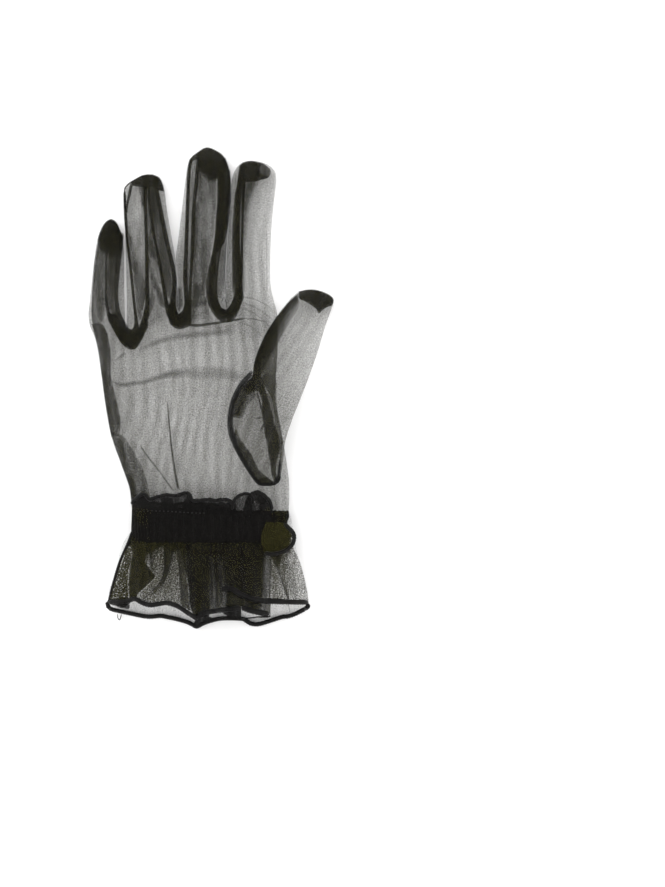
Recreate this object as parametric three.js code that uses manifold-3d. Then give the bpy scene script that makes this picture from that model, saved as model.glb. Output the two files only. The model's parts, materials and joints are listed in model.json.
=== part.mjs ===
// A short sheer mesh dress glove for the right hand, lying palm up on a flat surface.
// Millimetres, +Z up, fingers towards +Y, thumb towards +X. The origin is under the middle of the glove.
// The trank is one cloth folded along the index side, made here as a palm face and a back that part just
// above the surface. Forked strips close the sides of the fingers, the thumb is set into an oval hole,
// and a gathered ruffle is held round the wrist by a band.
import * as THREE from "three";
import { mergeVertices } from "three/addons/utils/BufferGeometryUtils.js";
import Module from "manifold-3d";

const wasm = await Module();
wasm.setup();

// Driving sizes.
const WALL = 1.0; // every cloth wall
const GAP = 0.3; // between sewn pieces
const FINGER_POINTS = 16; // round a finger
const PALM_POINTS = 28; // round the palm and sleeve
const RUFFLE_POINTS = 72; // round the ruffle
const TOP_ROUND = 2.7; // superellipse power of an upper half
const BASE_ROUND = 4.2; // flatter where the cloth lies on the surface
const BASE_FLAT = 1.08; // how much of the underside lies flat: 1 is a single point
const FAR = 60; // above and below everything, for cutting prisms
const LAP = 0.5; // half the height in which the front and back cuts of a fork overlap
const HEM = { radius: 1.1, sides: 6 };
const WAIST = { left: -38.9, right: 37.7, height: 13.8, top: -61.6, bottom: -77.4 };
const BAND = { thick: 1.1, top: -62.0, bottom: -77.0 };

// Heights of the layers under the wrist: band on the surface, then the ruffle, then the sleeve.
const RUFFLE_BASE = BAND.thick + GAP;
const SLEEVE_BASE = RUFFLE_BASE + WALL + GAP;
const SLEEVE = {
  leftX: WAIST.left + WALL + GAP,
  rightX: WAIST.right - WALL - GAP,
  base: SLEEVE_BASE,
  height: WAIST.height - 2 * (WALL + GAP),
};

// Palm and sleeve, from the finger roots to the sleeve's edge inside the band: the plan places of both
// side edges, how far the underside is above the surface, and the height. The low row is a crease.
const PALM = [
  { leftX: -57.4, leftY: 24, rightX: 31.0, rightY: 43, base: 0, height: 10 },
  { leftX: -56.4, leftY: 16, rightX: 32.8, rightY: 30, base: 0, height: 13.2 },
  { leftX: -55.6, leftY: 9, rightX: 32.8, rightY: 19, base: 0, height: 14.6 },
  { leftX: -54.9, leftY: 4, rightX: 32.4, rightY: 10, base: 0, height: 13.6 },
  { leftX: -54.0, leftY: -3, rightX: 32.0, rightY: 0, base: 0, height: 15 },
  { leftX: -51.8, leftY: -15, rightX: 33.4, rightY: -14, base: 0, height: 15 },
  { leftX: -48.6, leftY: -28, rightX: 35.9, rightY: -28, base: 0, height: 14.6 },
  { leftX: -43.2, leftY: -43, rightX: 37.6, rightY: -43, base: 1.2, height: 12.9 },
  { ...SLEEVE, leftX: -39.6, leftY: -52, rightX: 37.6, rightY: -52 },
  { ...SLEEVE, leftY: -59, rightY: -59 },
  { ...SLEEVE, leftY: -76, rightY: -76 },
];

// Fingers, from a root inside the palm to the tip: middle, half width and height of each section.
const FINGERS = {
  little: [
    { x: -48.0, y: 8, half: 6.6, height: 9.5 },
    { x: -50.4, y: 22, half: 8.2, height: 10.5 },
    { x: -52.2, y: 33, half: 8.6, height: 11 },
    { x: -52.0, y: 44, half: 8.4, height: 11 },
    { x: -51.4, y: 58, half: 7.7, height: 10.3 },
    { x: -50.8, y: 71, half: 6.6, height: 9 },
    { x: -50.4, y: 79, half: 4.8, height: 7.4 },
    { x: -50.3, y: 83, half: 2.4, height: 5 },
    { x: -50.3, y: 84.3, half: 1.1, height: 3 },
  ],
  ring: [
    { x: -30.0, y: 10, half: 10, height: 10 },
    { x: -29.6, y: 27, half: 12.4, height: 11.5 },
    { x: -29.5, y: 36, half: 13.1, height: 12 },
    { x: -29.7, y: 47, half: 12.9, height: 12 },
    { x: -30.8, y: 67, half: 11.8, height: 11.2 },
    { x: -33.2, y: 89, half: 10.7, height: 10 },
    { x: -33.9, y: 98, half: 10.1, height: 9 },
    { x: -32.8, y: 102.6, half: 8.2, height: 7.5 },
    { x: -31.4, y: 105.5, half: 5, height: 5.5 },
    { x: -31.2, y: 106.9, half: 2.4, height: 3 },
  ],
  middle: [
    { x: -4.4, y: 14, half: 9, height: 10 },
    { x: -4.2, y: 31, half: 10.6, height: 12 },
    { x: -4.4, y: 43, half: 11.0, height: 12.5 },
    { x: -5.2, y: 54, half: 11.2, height: 12.5 },
    { x: -5.5, y: 64, half: 12.0, height: 12 },
    { x: -4.6, y: 74, half: 12.1, height: 11.5 },
    { x: -2.9, y: 90, half: 11.6, height: 11 },
    { x: -1.8, y: 104, half: 10.8, height: 10 },
    { x: -1.8, y: 112, half: 9.6, height: 9 },
    { x: -2.0, y: 116, half: 6.7, height: 7.5 },
    { x: -2.4, y: 120.2, half: 1.6, height: 3.4 },
  ],
  index: [
    { x: 19.5, y: 16, half: 9, height: 10 },
    { x: 20.2, y: 36, half: 11.8, height: 12 },
    { x: 19.0, y: 44, half: 11.5, height: 12 },
    { x: 18.1, y: 54, half: 11.0, height: 12 },
    { x: 18.4, y: 66, half: 10.7, height: 11.5 },
    { x: 20.0, y: 87, half: 10.3, height: 10.8 },
    { x: 21.1, y: 105, half: 10.6, height: 9.5 },
    { x: 21.2, y: 109.3, half: 9.2, height: 8 },
    { x: 20.0, y: 113.4, half: 3.4, height: 3.6 },
  ],
};

// Thumb, from the lower end of its oval hole to the tip: both side edges in plan, the height of the
// section's middle at each of them, and its thickness. It rises out of the palm, crosses the folded
// edge and comes down to the surface at its tip.
const THUMB = [
  { leftX: 22.6, leftY: -47.6, leftZ: 13.0, rightX: 31.4, rightY: -48.4, rightZ: 13.0, thick: 3 },
  { leftX: 16.6, leftY: -41, leftZ: 13.4, rightX: 34.6, rightY: -42, rightZ: 14.4, thick: 6.5 },
  { leftX: 10.6, leftY: -29.5, leftZ: 13.6, rightX: 36.2, rightY: -29, rightZ: 17.0, thick: 8.5 },
  { leftX: 8.4, leftY: -16.5, leftZ: 14.2, rightX: 40.6, rightY: -18, rightZ: 18.6, thick: 9 },
  { leftX: 10.8, leftY: -5, leftZ: 15.2, rightX: 44.8, rightY: -7, rightZ: 18.4, thick: 9 },
  { leftX: 17.2, leftY: 4, leftZ: 17.4, rightX: 48.4, rightY: 2, rightZ: 17.0, thick: 9 },
  { leftX: 21.2, leftY: 13, leftZ: 19.2, rightX: 51.8, rightY: 11, rightZ: 15.0, thick: 9 },
  { leftX: 24.2, leftY: 21.5, leftZ: 18.6, rightX: 54.8, rightY: 19.5, rightZ: 12.2, thick: 9 },
  { leftX: 28.6, leftY: 30, leftZ: 17.4, rightX: 57.2, rightY: 27.5, rightZ: 9.0, thick: 9 },
  { leftX: 34.4, leftY: 38, leftZ: 12.8, rightX: 59.0, rightY: 35.5, rightZ: 5.8, thick: 8.8 },
  { leftX: 39.2, leftY: 44, leftZ: 7.0, rightX: 60.4, rightY: 41.5, rightZ: 4.2, thick: 8.2 },
  { leftX: 42.6, leftY: 47, leftZ: 4.2, rightX: 59.8, rightY: 45.0, rightZ: 3.4, thick: 6.6 },
  { leftX: 46.6, leftY: 48.6, leftZ: 2.2, rightX: 55.2, rightY: 47.8, rightZ: 2.0, thick: 3.8 },
];
const THUMB_HOLE = { x: 20.6, y: -20.5, low: 6, halfWidth: 9.6, halfLength: 22, lean: 0.13, points: 28 };

// The forked strips between the fingers. Each side's seams are given from the fingertip down to the
// crotch, as seam places across the glove on the palm face (front) and on the back, which change
// over at the height split. The cut is closed beyond the fingertips by the points outside.
const FORKS = {
  little_ring: {
    split: 5.2,
    left: [
      { y: 73, front: -46.0, back: -51.6 },
      { y: 58, front: -46.4, back: -52.4 },
      { y: 45, front: -47.0, back: -52.4 },
      { y: 36, front: -45.8, back: -50.4 },
      { y: 28, front: -43.6, back: -46.4 },
    ],
    crotch: { y: 20.0, front: -41.0, back: -41.6 },
    right: [
      { y: 28, front: -38.4, back: -36.6 },
      { y: 36, front: -38.6, back: -34.4 },
      { y: 48, front: -39.8, back: -33.2 },
      { y: 68, front: -40.6, back: -33.2 },
      { y: 92, front: -41.6, back: -33.6 },
      { y: 101, front: -41.8, back: -33.8 },
    ],
    outside: [
      { x: -47, y: 102 },
      { x: -47, y: 75 },
    ],
  },
  ring_middle: {
    split: 5.6,
    left: [
      { y: 101, front: -26.4, back: -30.8 },
      { y: 88, front: -25.0, back: -30.2 },
      { y: 68, front: -22.0, back: -28.2 },
      { y: 48, front: -19.4, back: -25.2 },
      { y: 38, front: -19.0, back: -22.6 },
      { y: 31, front: -18.4, back: -20.4 },
    ],
    crotch: { y: 27.5, front: -16.2, back: -16.6 },
    right: [
      { y: 31, front: -13.2, back: -11.2 },
      { y: 42, front: -12.6, back: -10.4 },
      { y: 58, front: -13.2, back: -10.2 },
      { y: 85, front: -12.2, back: -8.6 },
      { y: 114, front: -9.4, back: -6.4 },
    ],
    outside: [{ x: -24, y: 116 }],
  },
  middle_index: {
    split: 5.6,
    left: [
      { y: 114, front: 5.6, back: 6.6 },
      { y: 105, front: 5.4, back: 6.4 },
      { y: 88, front: 4.0, back: 5.6 },
      { y: 70, front: 2.2, back: 4.0 },
      { y: 54, front: 0.4, back: 2.0 },
      { y: 44, front: 1.4, back: 2.4 },
      { y: 37, front: 3.9, back: 3.9 },
    ],
    crotch: { y: 30.8, front: 7.4, back: 7.4 },
    right: [
      { y: 37, front: 10.6, back: 11.4 },
      { y: 46, front: 11.4, back: 13.2 },
      { y: 62, front: 11.4, back: 13.4 },
      { y: 86, front: 12.8, back: 14.8 },
      { y: 108, front: 13.8, back: 15.6 },
    ],
    outside: [{ x: 9.7, y: 116 }],
  },
};

// The ruffle, from the edge of its heading to its hem: side edges, underside, height, how full its
// folds are, and how far along the skirt it is (0 at the band's lower edge, 1 at the hem).
const RUFFLE = [
  { y: -53.6, left: -42.2, right: 41.0, base: 0, height: 18.4, folds: 0.5, along: 0 },
  { y: -58.0, left: -40.4, right: 39.2, base: 0.5, height: 16.2, folds: 0.28, along: 0 },
  { ...WAIST, y: WAIST.top, base: RUFFLE_BASE, folds: 0.02, along: 0 },
  { ...WAIST, y: WAIST.bottom, base: RUFFLE_BASE, folds: 0.02, along: 0 },
  { y: WAIST.bottom, left: -43.4, right: 41.0, base: 0.3, height: 16.6, folds: 0.4, along: 0.18 },
  { y: WAIST.bottom, left: -48.6, right: 44.8, base: 0, height: 18.6, folds: 0.72, along: 0.5 },
  { y: WAIST.bottom, left: -51.6, right: 47.2, base: 0.7, height: 19.4, folds: 1, along: 1 },
];

// Where the hem lies: around runs from 0 at the right edge over the upper face to 0.5 at the left
// edge, and back under the glove to 1.
const HEM_LINE = [
  { around: 0.0, y: -107.8 },
  { around: 0.1, y: -106.4 },
  { around: 0.2, y: -105.8 },
  { around: 0.255, y: -108.4 },
  { around: 0.3, y: -113.0 },
  { around: 0.35, y: -110.6 },
  { around: 0.41, y: -107.0 },
  { around: 0.45, y: -106.0 },
  { around: 0.5, y: -107.6 },
  { around: 0.58, y: -112.8 },
  { around: 0.66, y: -113.2 },
  { around: 0.72, y: -118.0 },
  { around: 0.79, y: -114.8 },
  { around: 0.86, y: -117.0 },
  { around: 0.93, y: -113.0 },
  { around: 1.0, y: -107.8 },
];

// The gathered folds: where each ridge runs, half its width round the ruffle, and its height at the
// hem. Those under the glove rise inwards, off the surface.
const FOLDS = [
  { around: 0.03, width: 0.018, rise: 1.4 },
  { around: 0.09, width: 0.02, rise: 3.2 },
  { around: 0.155, width: 0.016, rise: 2.6 },
  { around: 0.215, width: 0.018, rise: 4.6 },
  { around: 0.27, width: 0.015, rise: 3.0 },
  { around: 0.325, width: 0.018, rise: 4.8 },
  { around: 0.385, width: 0.016, rise: 2.8 },
  { around: 0.44, width: 0.018, rise: 3.4 },
  { around: 0.485, width: 0.014, rise: 1.4 },
  { around: 0.6, width: 0.022, rise: -1.6 },
  { around: 0.69, width: 0.02, rise: -2.2 },
  { around: 0.775, width: 0.022, rise: -2.0 },
  { around: 0.86, width: 0.02, rise: -2.4 },
  { around: 0.94, width: 0.02, rise: -1.4 },
];

// How high the trank's palm face and back part, from the fingertips to the sleeve.
const PARTING = [
  { y: 130, z: 1.5 },
  { y: -28, z: 1.5 },
  { y: -43, z: 2.7 },
  { y: -52, z: 4.2 },
  { y: -90, z: 4.2 },
];

const MATERIALS = {
  mesh: { color: 0x4a4a48, roughness: 0.75, metalness: 0 },
  doubled: { color: 0x2c2c2a, roughness: 0.8, metalness: 0 },
  ruffle: { color: 0x2a2a28, roughness: 0.8, metalness: 0 },
  band: { color: 0x131312, roughness: 0.85, metalness: 0 },
  hem: { color: 0x161614, roughness: 0.7, metalness: 0 },
};

// A place on a rounded outline with a flat base, for a circle's angle: both run from -1 to 1.
function roundedPlace(angle) {
  const c = Math.cos(angle);
  const s = Math.sin(angle);
  const power = 2 / (s >= 0 ? TOP_ROUND : BASE_ROUND);
  const up = Math.sign(s) * Math.abs(s) ** power;
  return { across: Math.sign(c) * Math.abs(c) ** power, up: s < 0 ? Math.max(BASE_FLAT * up, -1) : up };
}

// One upright section through two side points, drawn in by inset.
function section(row, inset, count) {
  const left = new THREE.Vector3(row.leftX, row.leftY, row.leftZ);
  const right = new THREE.Vector3(row.rightX, row.rightY, row.rightZ);
  const middle = left.clone().lerp(right, 0.5);
  const side = right.clone().sub(left).multiplyScalar(0.5);
  side.setLength(Math.max(side.length() - inset, GAP));
  const rise = Math.max(row.thick / 2 - inset, GAP);
  return Array.from({ length: count }, (_, i) => {
    const { across, up } = roundedPlace((2 * Math.PI * i) / count);
    return middle
      .clone()
      .addScaledVector(side, across)
      .add(new THREE.Vector3(0, 0, rise * up));
  });
}

const palmRow = ({ leftX, leftY, rightX, rightY, base, height }) => {
  const z = base + height / 2;
  return { leftX, leftY, leftZ: z, rightX, rightY, rightZ: z, thick: height };
};
const fingerRow = ({ x, y, half, height }) =>
  palmRow({ leftX: x - half, leftY: y, rightX: x + half, rightY: y, base: 0, height });

// A geometry of these triangles, with its faces pointing out.
function facingOut(points, triangles) {
  const tall = ([a, b, c]) => points[a].dot(points[b].clone().cross(points[c]));
  const volume = triangles.reduce((sum, triangle) => sum + tall(triangle), 0);
  const turned = volume < 0 ? triangles.map(([a, b, c]) => [a, c, b]) : triangles;
  return new THREE.BufferGeometry().setFromPoints(points).setIndex(turned.flat());
}

const quad = (a, b, c, d) => [
  [a, b, c],
  [a, c, d],
];

// A closed solid through a run of rings, with a fan at each end.
function loft(rings) {
  const count = rings[0].length;
  const points = rings.flat();
  const triangles = [];
  const at = (r, i) => r * count + (i % count);
  for (let r = 0; r < rings.length - 1; r++)
    for (let i = 0; i < count; i++)
      triangles.push(...quad(at(r, i), at(r, i + 1), at(r + 1, i + 1), at(r + 1, i)));
  for (const r of [0, rings.length - 1]) {
    const middle = new THREE.Vector3();
    rings[r].forEach((p) => middle.addScaledVector(p, 1 / count));
    const m = points.push(middle) - 1;
    for (let i = 0; i < count; i++) {
      const edge = [at(r, i), at(r, i + 1)];
      triangles.push([m, ...(r ? edge : edge.reverse())]);
    }
  }
  return facingOut(points, triangles);
}

// A wall between an outer and an inner run of rings, closed along its two rims.
function tubeWall(outer, inner) {
  const count = outer[0].length;
  const last = outer.length - 1;
  const points = [...outer, ...inner].flat();
  const triangles = [];
  const out = (r, i) => r * count + (i % count);
  const inn = (r, i) => (outer.length + r) * count + (i % count);
  for (let i = 0; i < count; i++) {
    for (let r = 0; r < last; r++) {
      triangles.push(...quad(out(r, i), out(r, i + 1), out(r + 1, i + 1), out(r + 1, i)));
      triangles.push(...quad(inn(r, i), inn(r + 1, i), inn(r + 1, i + 1), inn(r, i + 1)));
    }
    triangles.push(...quad(out(0, i), inn(0, i), inn(0, i + 1), out(0, i + 1)));
    triangles.push(...quad(out(last, i), out(last, i + 1), inn(last, i + 1), inn(last, i)));
  }
  return facingOut(points, triangles);
}

function solid(geometry) {
  const bare = geometry.clone();
  bare.deleteAttribute("normal");
  bare.deleteAttribute("uv");
  const merged = mergeVertices(bare, 1e-4);
  return new wasm.Manifold(
    new wasm.Mesh({
      numProp: 3,
      vertProperties: merged.attributes.position.array,
      triVerts: new Uint32Array(merged.index.array),
    }),
  );
}

function geometryOf(manifold) {
  const mesh = manifold.getMesh();
  const geometry = new THREE.BufferGeometry();
  geometry.setAttribute("position", new THREE.Float32BufferAttribute(mesh.vertProperties, 3));
  geometry.setIndex(new THREE.BufferAttribute(mesh.triVerts, 1));
  geometry.computeVertexNormals();
  return geometry;
}

const union = (parts) => parts.reduce((all, part) => all.add(part));

// An upright prism over a plan outline.
function prism(outline, low, high) {
  const shape = new THREE.Shape(outline.map((p) => new THREE.Vector2(p.x, p.y)));
  const geometry = new THREE.ExtrudeGeometry(shape, { depth: high - low, bevelEnabled: false });
  geometry.translate(0, 0, low);
  return solid(geometry);
}

// The space between one fork's seams, widened by grow: palm-face seams above, back seams below.
function forkSpace(fork, grow) {
  const outline = (face) => [
    ...fork.left.map((row) => ({ x: row[face] - grow, y: row.y })),
    { x: fork.crotch[face], y: fork.crotch.y - 2 * grow },
    ...fork.right.map((row) => ({ x: row[face] + grow, y: row.y })),
    ...fork.outside,
  ];
  const lap = LAP + grow;
  return prism(outline("front"), fork.split - lap, FAR).add(prism(outline("back"), -FAR, fork.split + lap));
}

function thumbHole() {
  const { x, y, low, halfWidth, halfLength, lean, points } = THUMB_HOLE;
  const outline = Array.from({ length: points }, (_, i) => {
    const angle = (2 * Math.PI * i) / points;
    const along = halfLength * Math.sin(angle);
    return { x: x + halfWidth * Math.cos(angle) - lean * along, y: y + along };
  });
  return prism(outline, low, FAR);
}

// The palm, sleeve and fingers as one form, drawn in by inset. A form with a mouth runs on past the
// sleeve's edge, which opens the glove at the wrist.
function handForm(inset, mouth) {
  const rows = PALM.map(palmRow);
  rows[0] = { ...rows[0], leftY: rows[0].leftY - inset, rightY: rows[0].rightY - inset };
  const edge = rows.at(-1);
  rows.push({ ...edge, leftY: edge.leftY - mouth, rightY: edge.rightY - mouth });
  const used = mouth ? rows : rows.slice(0, -1);
  const palm = solid(loft(used.map((row) => section(row, inset, PALM_POINTS))));
  const fingers = Object.values(FINGERS).map((sections) => {
    const tip = { ...sections.at(-1), y: sections.at(-1).y - inset };
    const finger = [...sections.slice(0, -1), tip].map(fingerRow);
    return solid(loft(finger.map((row) => section(row, inset, FINGER_POINTS))));
  });
  return union([palm, ...fingers]);
}

const handShell = handForm(0, 0).subtract(handForm(WALL, 10));

const group = new THREE.Group();
group.name = "mesh_glove";

function addPiece(name, geometry, material) {
  const mesh = new THREE.Mesh(geometry, new THREE.MeshStandardMaterial(MATERIALS[material]));
  mesh.name = name;
  group.add(mesh);
}

// Everything under the parting line, with the line raised by shift.
function underParting(shift) {
  const line = PARTING.map(({ y, z }) => new THREE.Vector2(y, z + shift));
  const ends = [
    new THREE.Vector2(PARTING.at(-1).y, -FAR),
    new THREE.Vector2(PARTING[0].y, -FAR),
  ];
  const shape = new THREE.Shape([...line, ...ends]);
  const geometry = new THREE.ExtrudeGeometry(shape, { depth: 4 * FAR, bevelEnabled: false });
  geometry.translate(0, 0, -2 * FAR);
  const [x, y, z] = [new THREE.Vector3(1, 0, 0), new THREE.Vector3(0, 1, 0), new THREE.Vector3(0, 0, 1)];
  return solid(geometry.applyMatrix4(new THREE.Matrix4().makeBasis(y, z, x)));
}

function addTrank() {
  const cuts = Object.values(FORKS).map((fork) => forkSpace(fork, GAP));
  const trank = handShell.subtract(union(cuts)).subtract(thumbHole());
  addPiece("trank_palm", geometryOf(trank.subtract(underParting(GAP / 2))), "mesh");
  addPiece("trank_back", geometryOf(trank.intersect(underParting(-GAP / 2))), "mesh");
}

function addForks() {
  for (const [between, fork] of Object.entries(FORKS))
    addPiece("fourchette_" + between, geometryOf(handShell.intersect(forkSpace(fork, 0))), "doubled");
}

// The thumb's cloth stops at the palm and index finger, which are GAP larger here.
function addThumb() {
  const outer = solid(loft(THUMB.map((row) => section(row, 0, FINGER_POINTS))));
  const inner = solid(loft(THUMB.slice(1, -1).map((row) => section(row, WALL, FINGER_POINTS))));
  addPiece("thumb", geometryOf(outer.subtract(inner).subtract(handForm(-GAP, 0))), "mesh");
}

// A value from a table of rows, between two of its columns, eased from row to row.
function eased(rows, x, from, to) {
  const next = Math.max(1, rows.findIndex((row) => row[from] >= x));
  const a = rows[next - 1];
  const b = rows[next];
  return THREE.MathUtils.lerp(a[to], b[to], THREE.MathUtils.smoothstep(x, a[from], b[from]));
}

// How far the folds push the ruffle outwards at one place round it.
function foldRise(around) {
  return FOLDS.reduce((sum, fold) => {
    const away = Math.abs(around - fold.around);
    const near = Math.min(away, 1 - away) / fold.width;
    return sum + fold.rise * Math.exp(-near * near);
  }, 0);
}

// The inward direction at one point of a closed outline.
function inwardAt(outline, i) {
  const along = outline[(i + 1) % outline.length].clone().sub(outline.at(i - 1));
  return new THREE.Vector2(-along.y, along.x).normalize();
}

// One ring of the ruffle, drawn in by inset. Its points are evenly spaced before the folds push it.
function ruffleRing(row, inset) {
  const half = (row.right - row.left) / 2;
  const middle = (row.right + row.left) / 2;
  const rise = row.height / 2;
  const fine = Array.from({ length: 4 * RUFFLE_POINTS }, (_, i) => {
    const { across, up } = roundedPlace((Math.PI * i) / (2 * RUFFLE_POINTS));
    return new THREE.Vector2(middle + half * across, row.base + rise + rise * up);
  });
  const even = new THREE.Path(fine).closePath().getSpacedPoints(RUFFLE_POINTS).slice(0, RUFFLE_POINTS);
  const pushed = even.map((p, i) =>
    p.clone().addScaledVector(inwardAt(even, i), -row.folds * foldRise(i / RUFFLE_POINTS)),
  );
  pushed.forEach((p) => (p.y = Math.max(p.y, row.base)));
  return pushed.map((p, i) => {
    const q = p.clone().addScaledVector(inwardAt(pushed, i), inset);
    const y = THREE.MathUtils.lerp(row.y, eased(HEM_LINE, i / RUFFLE_POINTS, "around", "y"), row.along);
    return new THREE.Vector3(q.x, y, q.y);
  });
}

function addRuffle() {
  const outer = RUFFLE.map((row) => ruffleRing(row, 0));
  const inner = RUFFLE.map((row) => ruffleRing(row, WALL));
  addPiece("cuff_ruffle", tubeWall(outer, inner), "ruffle");
}

function addBand() {
  const waist = RUFFLE.find((row) => row.y === WAIST.top);
  const ends = [BAND.top, BAND.bottom].map((y) => ({ ...waist, y }));
  const outer = ends.map((row) => ruffleRing(row, -GAP - BAND.thick));
  const inner = ends.map((row) => ruffleRing(row, -GAP));
  addPiece("wrist_band", tubeWall(outer, inner), "band");
}

// The rolled hem: a round roll just beyond the ruffle's edge, closed on itself.
function addHem() {
  const edge = ruffleRing(RUFFLE.at(-1), WALL / 2);
  const rings = edge.map((p, i) => {
    const ahead = edge[(i + 1) % edge.length].clone().sub(edge.at(i - 1)).normalize();
    const down = new THREE.Vector3(0, -1, 0).addScaledVector(ahead, ahead.y).normalize();
    const out = new THREE.Vector3().crossVectors(ahead, down);
    const middle = p.clone().add(new THREE.Vector3(0, -HEM.radius - GAP, 0));
    return Array.from({ length: HEM.sides }, (_, k) => {
      const angle = (2 * Math.PI * (k + 0.5)) / HEM.sides;
      return middle
        .clone()
        .addScaledVector(down, HEM.radius * Math.cos(angle))
        .addScaledVector(out, HEM.radius * Math.sin(angle));
    });
  });
  const at = (r, k) => (r % rings.length) * HEM.sides + (k % HEM.sides);
  const triangles = rings.flatMap((ring, r) =>
    ring.flatMap((_, k) => quad(at(r, k), at(r, k + 1), at(r + 1, k + 1), at(r + 1, k))),
  );
  addPiece("rolled_hem", facingOut(rings.flat(), triangles), "hem");
}

addTrank();
addForks();
addThumb();
addRuffle();
addBand();
addHem();

export default group;
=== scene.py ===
# The looks of a short sheer mesh dress glove, lying palm up: its net, seam allowances, doubled
# fingertips, gathered cuff and rolled hem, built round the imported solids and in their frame.
import json
import math

import bmesh
import bpy
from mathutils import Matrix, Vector, kdtree, noise

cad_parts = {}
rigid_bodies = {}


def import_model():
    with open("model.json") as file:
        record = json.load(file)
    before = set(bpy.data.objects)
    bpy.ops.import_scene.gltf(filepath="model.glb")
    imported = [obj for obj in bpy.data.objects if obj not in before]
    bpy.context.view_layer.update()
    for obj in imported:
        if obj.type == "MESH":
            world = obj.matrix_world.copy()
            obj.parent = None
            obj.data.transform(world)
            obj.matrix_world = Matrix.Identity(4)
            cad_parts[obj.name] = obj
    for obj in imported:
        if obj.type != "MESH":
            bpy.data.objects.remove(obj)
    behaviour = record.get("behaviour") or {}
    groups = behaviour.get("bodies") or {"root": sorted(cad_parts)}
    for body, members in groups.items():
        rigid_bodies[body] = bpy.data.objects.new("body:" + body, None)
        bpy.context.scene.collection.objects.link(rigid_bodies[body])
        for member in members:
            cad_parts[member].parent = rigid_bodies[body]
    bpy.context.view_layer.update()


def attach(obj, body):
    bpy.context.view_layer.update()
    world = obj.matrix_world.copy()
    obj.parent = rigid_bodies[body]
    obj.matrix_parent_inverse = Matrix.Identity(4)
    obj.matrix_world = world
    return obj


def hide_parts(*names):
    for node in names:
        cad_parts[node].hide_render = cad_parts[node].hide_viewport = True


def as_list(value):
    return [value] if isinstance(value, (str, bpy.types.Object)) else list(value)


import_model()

MM = 0.001
PITCH = 1.5  # mm between the cuts that grid a panel
CUFF_PITCH = 1.0  # the same for the cuff, whose folds are smaller
CUT_SHIFT = 0.013  # mm that keep the cuts off the outlines' own points
ROLL_STEP = 0.6  # mm between the rows of a rolled edge
CORNER = 0.35  # the cosine of the turn above which a line through points bends softly
SOFT = 1.2  # pixels over which a doubling's edge fades, where its outline doesn't say
STITCH = 1.3  # mm from one stitch of a rolled edge to the next
HARD = 0.25  # mm of softness up to which an edge counts as sharp

# Plan tables are in the photograph's pixels, x right and y down. One is half a millimetre.
PHOTO_WIDE, PHOTO_TALL = 665, 887
PIXEL = 0.5
PLAN_X, PLAN_Y = 212.0, 387.7  # the pixel that lies over the origin
# The camera stands over the middle of the photograph, and at PLAN_HEIGHT a pixel is half a millimetre.
LENS, SENSOR = 85.0, 36.0  # mm
PLAN_HEIGHT = 5.0
EYE_X, EYE_Y = (PHOTO_WIDE / 2 - PLAN_X) * PIXEL, (PLAN_Y - PHOTO_TALL / 2) * PIXEL
EYE_Z = PHOTO_TALL * PIXEL * LENS / SENSOR + PLAN_HEIGHT


def plan(points):
    """Pixel rows as millimetre rows; any further columns stay as they are."""
    return [((x - PLAN_X) * PIXEL, (PLAN_Y - y) * PIXEL, *rest) for x, y, *rest in points]


def slope(points, i):
    """How a line's columns change with its length where it bends softly; None at a corner or an end."""
    if not 0 < i < len(points) - 1:
        return None
    a, b, c = points[i - 1], points[i], points[i + 1]
    before, after = math.dist(a[:2], b[:2]), math.dist(b[:2], c[:2])
    if (b[0] - a[0]) * (c[0] - b[0]) + (b[1] - a[1]) * (c[1] - b[1]) < CORNER * before * after:
        return None
    return [(r - p) / (before + after) for p, r in zip(a, c)]


def smooth(points, step=1.0):
    """A smooth line through rows of numbers, with a row about every step along its plan."""
    rows = []
    for i, (b, c) in enumerate(zip(points, points[1:])):
        length = math.dist(b[:2], c[:2])
        straight = [(r - q) / length for q, r in zip(b, c)]
        start = slope(points, i) or straight
        end = slope(points, i + 1) or straight
        columns = list(zip(b, c, start, end))
        count = max(1, round(length / step))
        for k in range(count):
            t = k / count
            held = t * t * (3 - 2 * t)
            leave, arrive = length * t * (1 - t) ** 2, -length * t * t * (1 - t)
            rows.append(tuple(q + (r - q) * held + m * leave + n * arrive for q, r, m, n in columns))
    rows.append(tuple(points[-1]))
    return rows


def line(points, step=1.0):
    """A smooth line in millimetres through points in pixels."""
    return smooth(plan(points), step)


def ease(low, high, x):
    """Rises softly from 0 at low to 1 at high."""
    t = min(max((x - low) / (high - low), 0.0), 1.0)
    return t * t * (3 - 2 * t)


def table(rows, x, column):
    """A column's value between the rows of a table sorted by its first column."""
    for a, b in zip(rows, rows[1:]):
        if x <= b[0]:
            t = min(max((x - a[0]) / (b[0] - a[0]), 0.0), 1.0)
            return a[column] + (b[column] - a[column]) * t
    return rows[-1][column]


def finder(places):
    """A tree that finds the nearest of some places on the plan."""
    tree = kdtree.KDTree(len(places))
    for i, place in enumerate(places):
        tree.insert((place[0], place[1], 0), i)
    tree.balance()
    return tree


# The plan of the hand.

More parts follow.
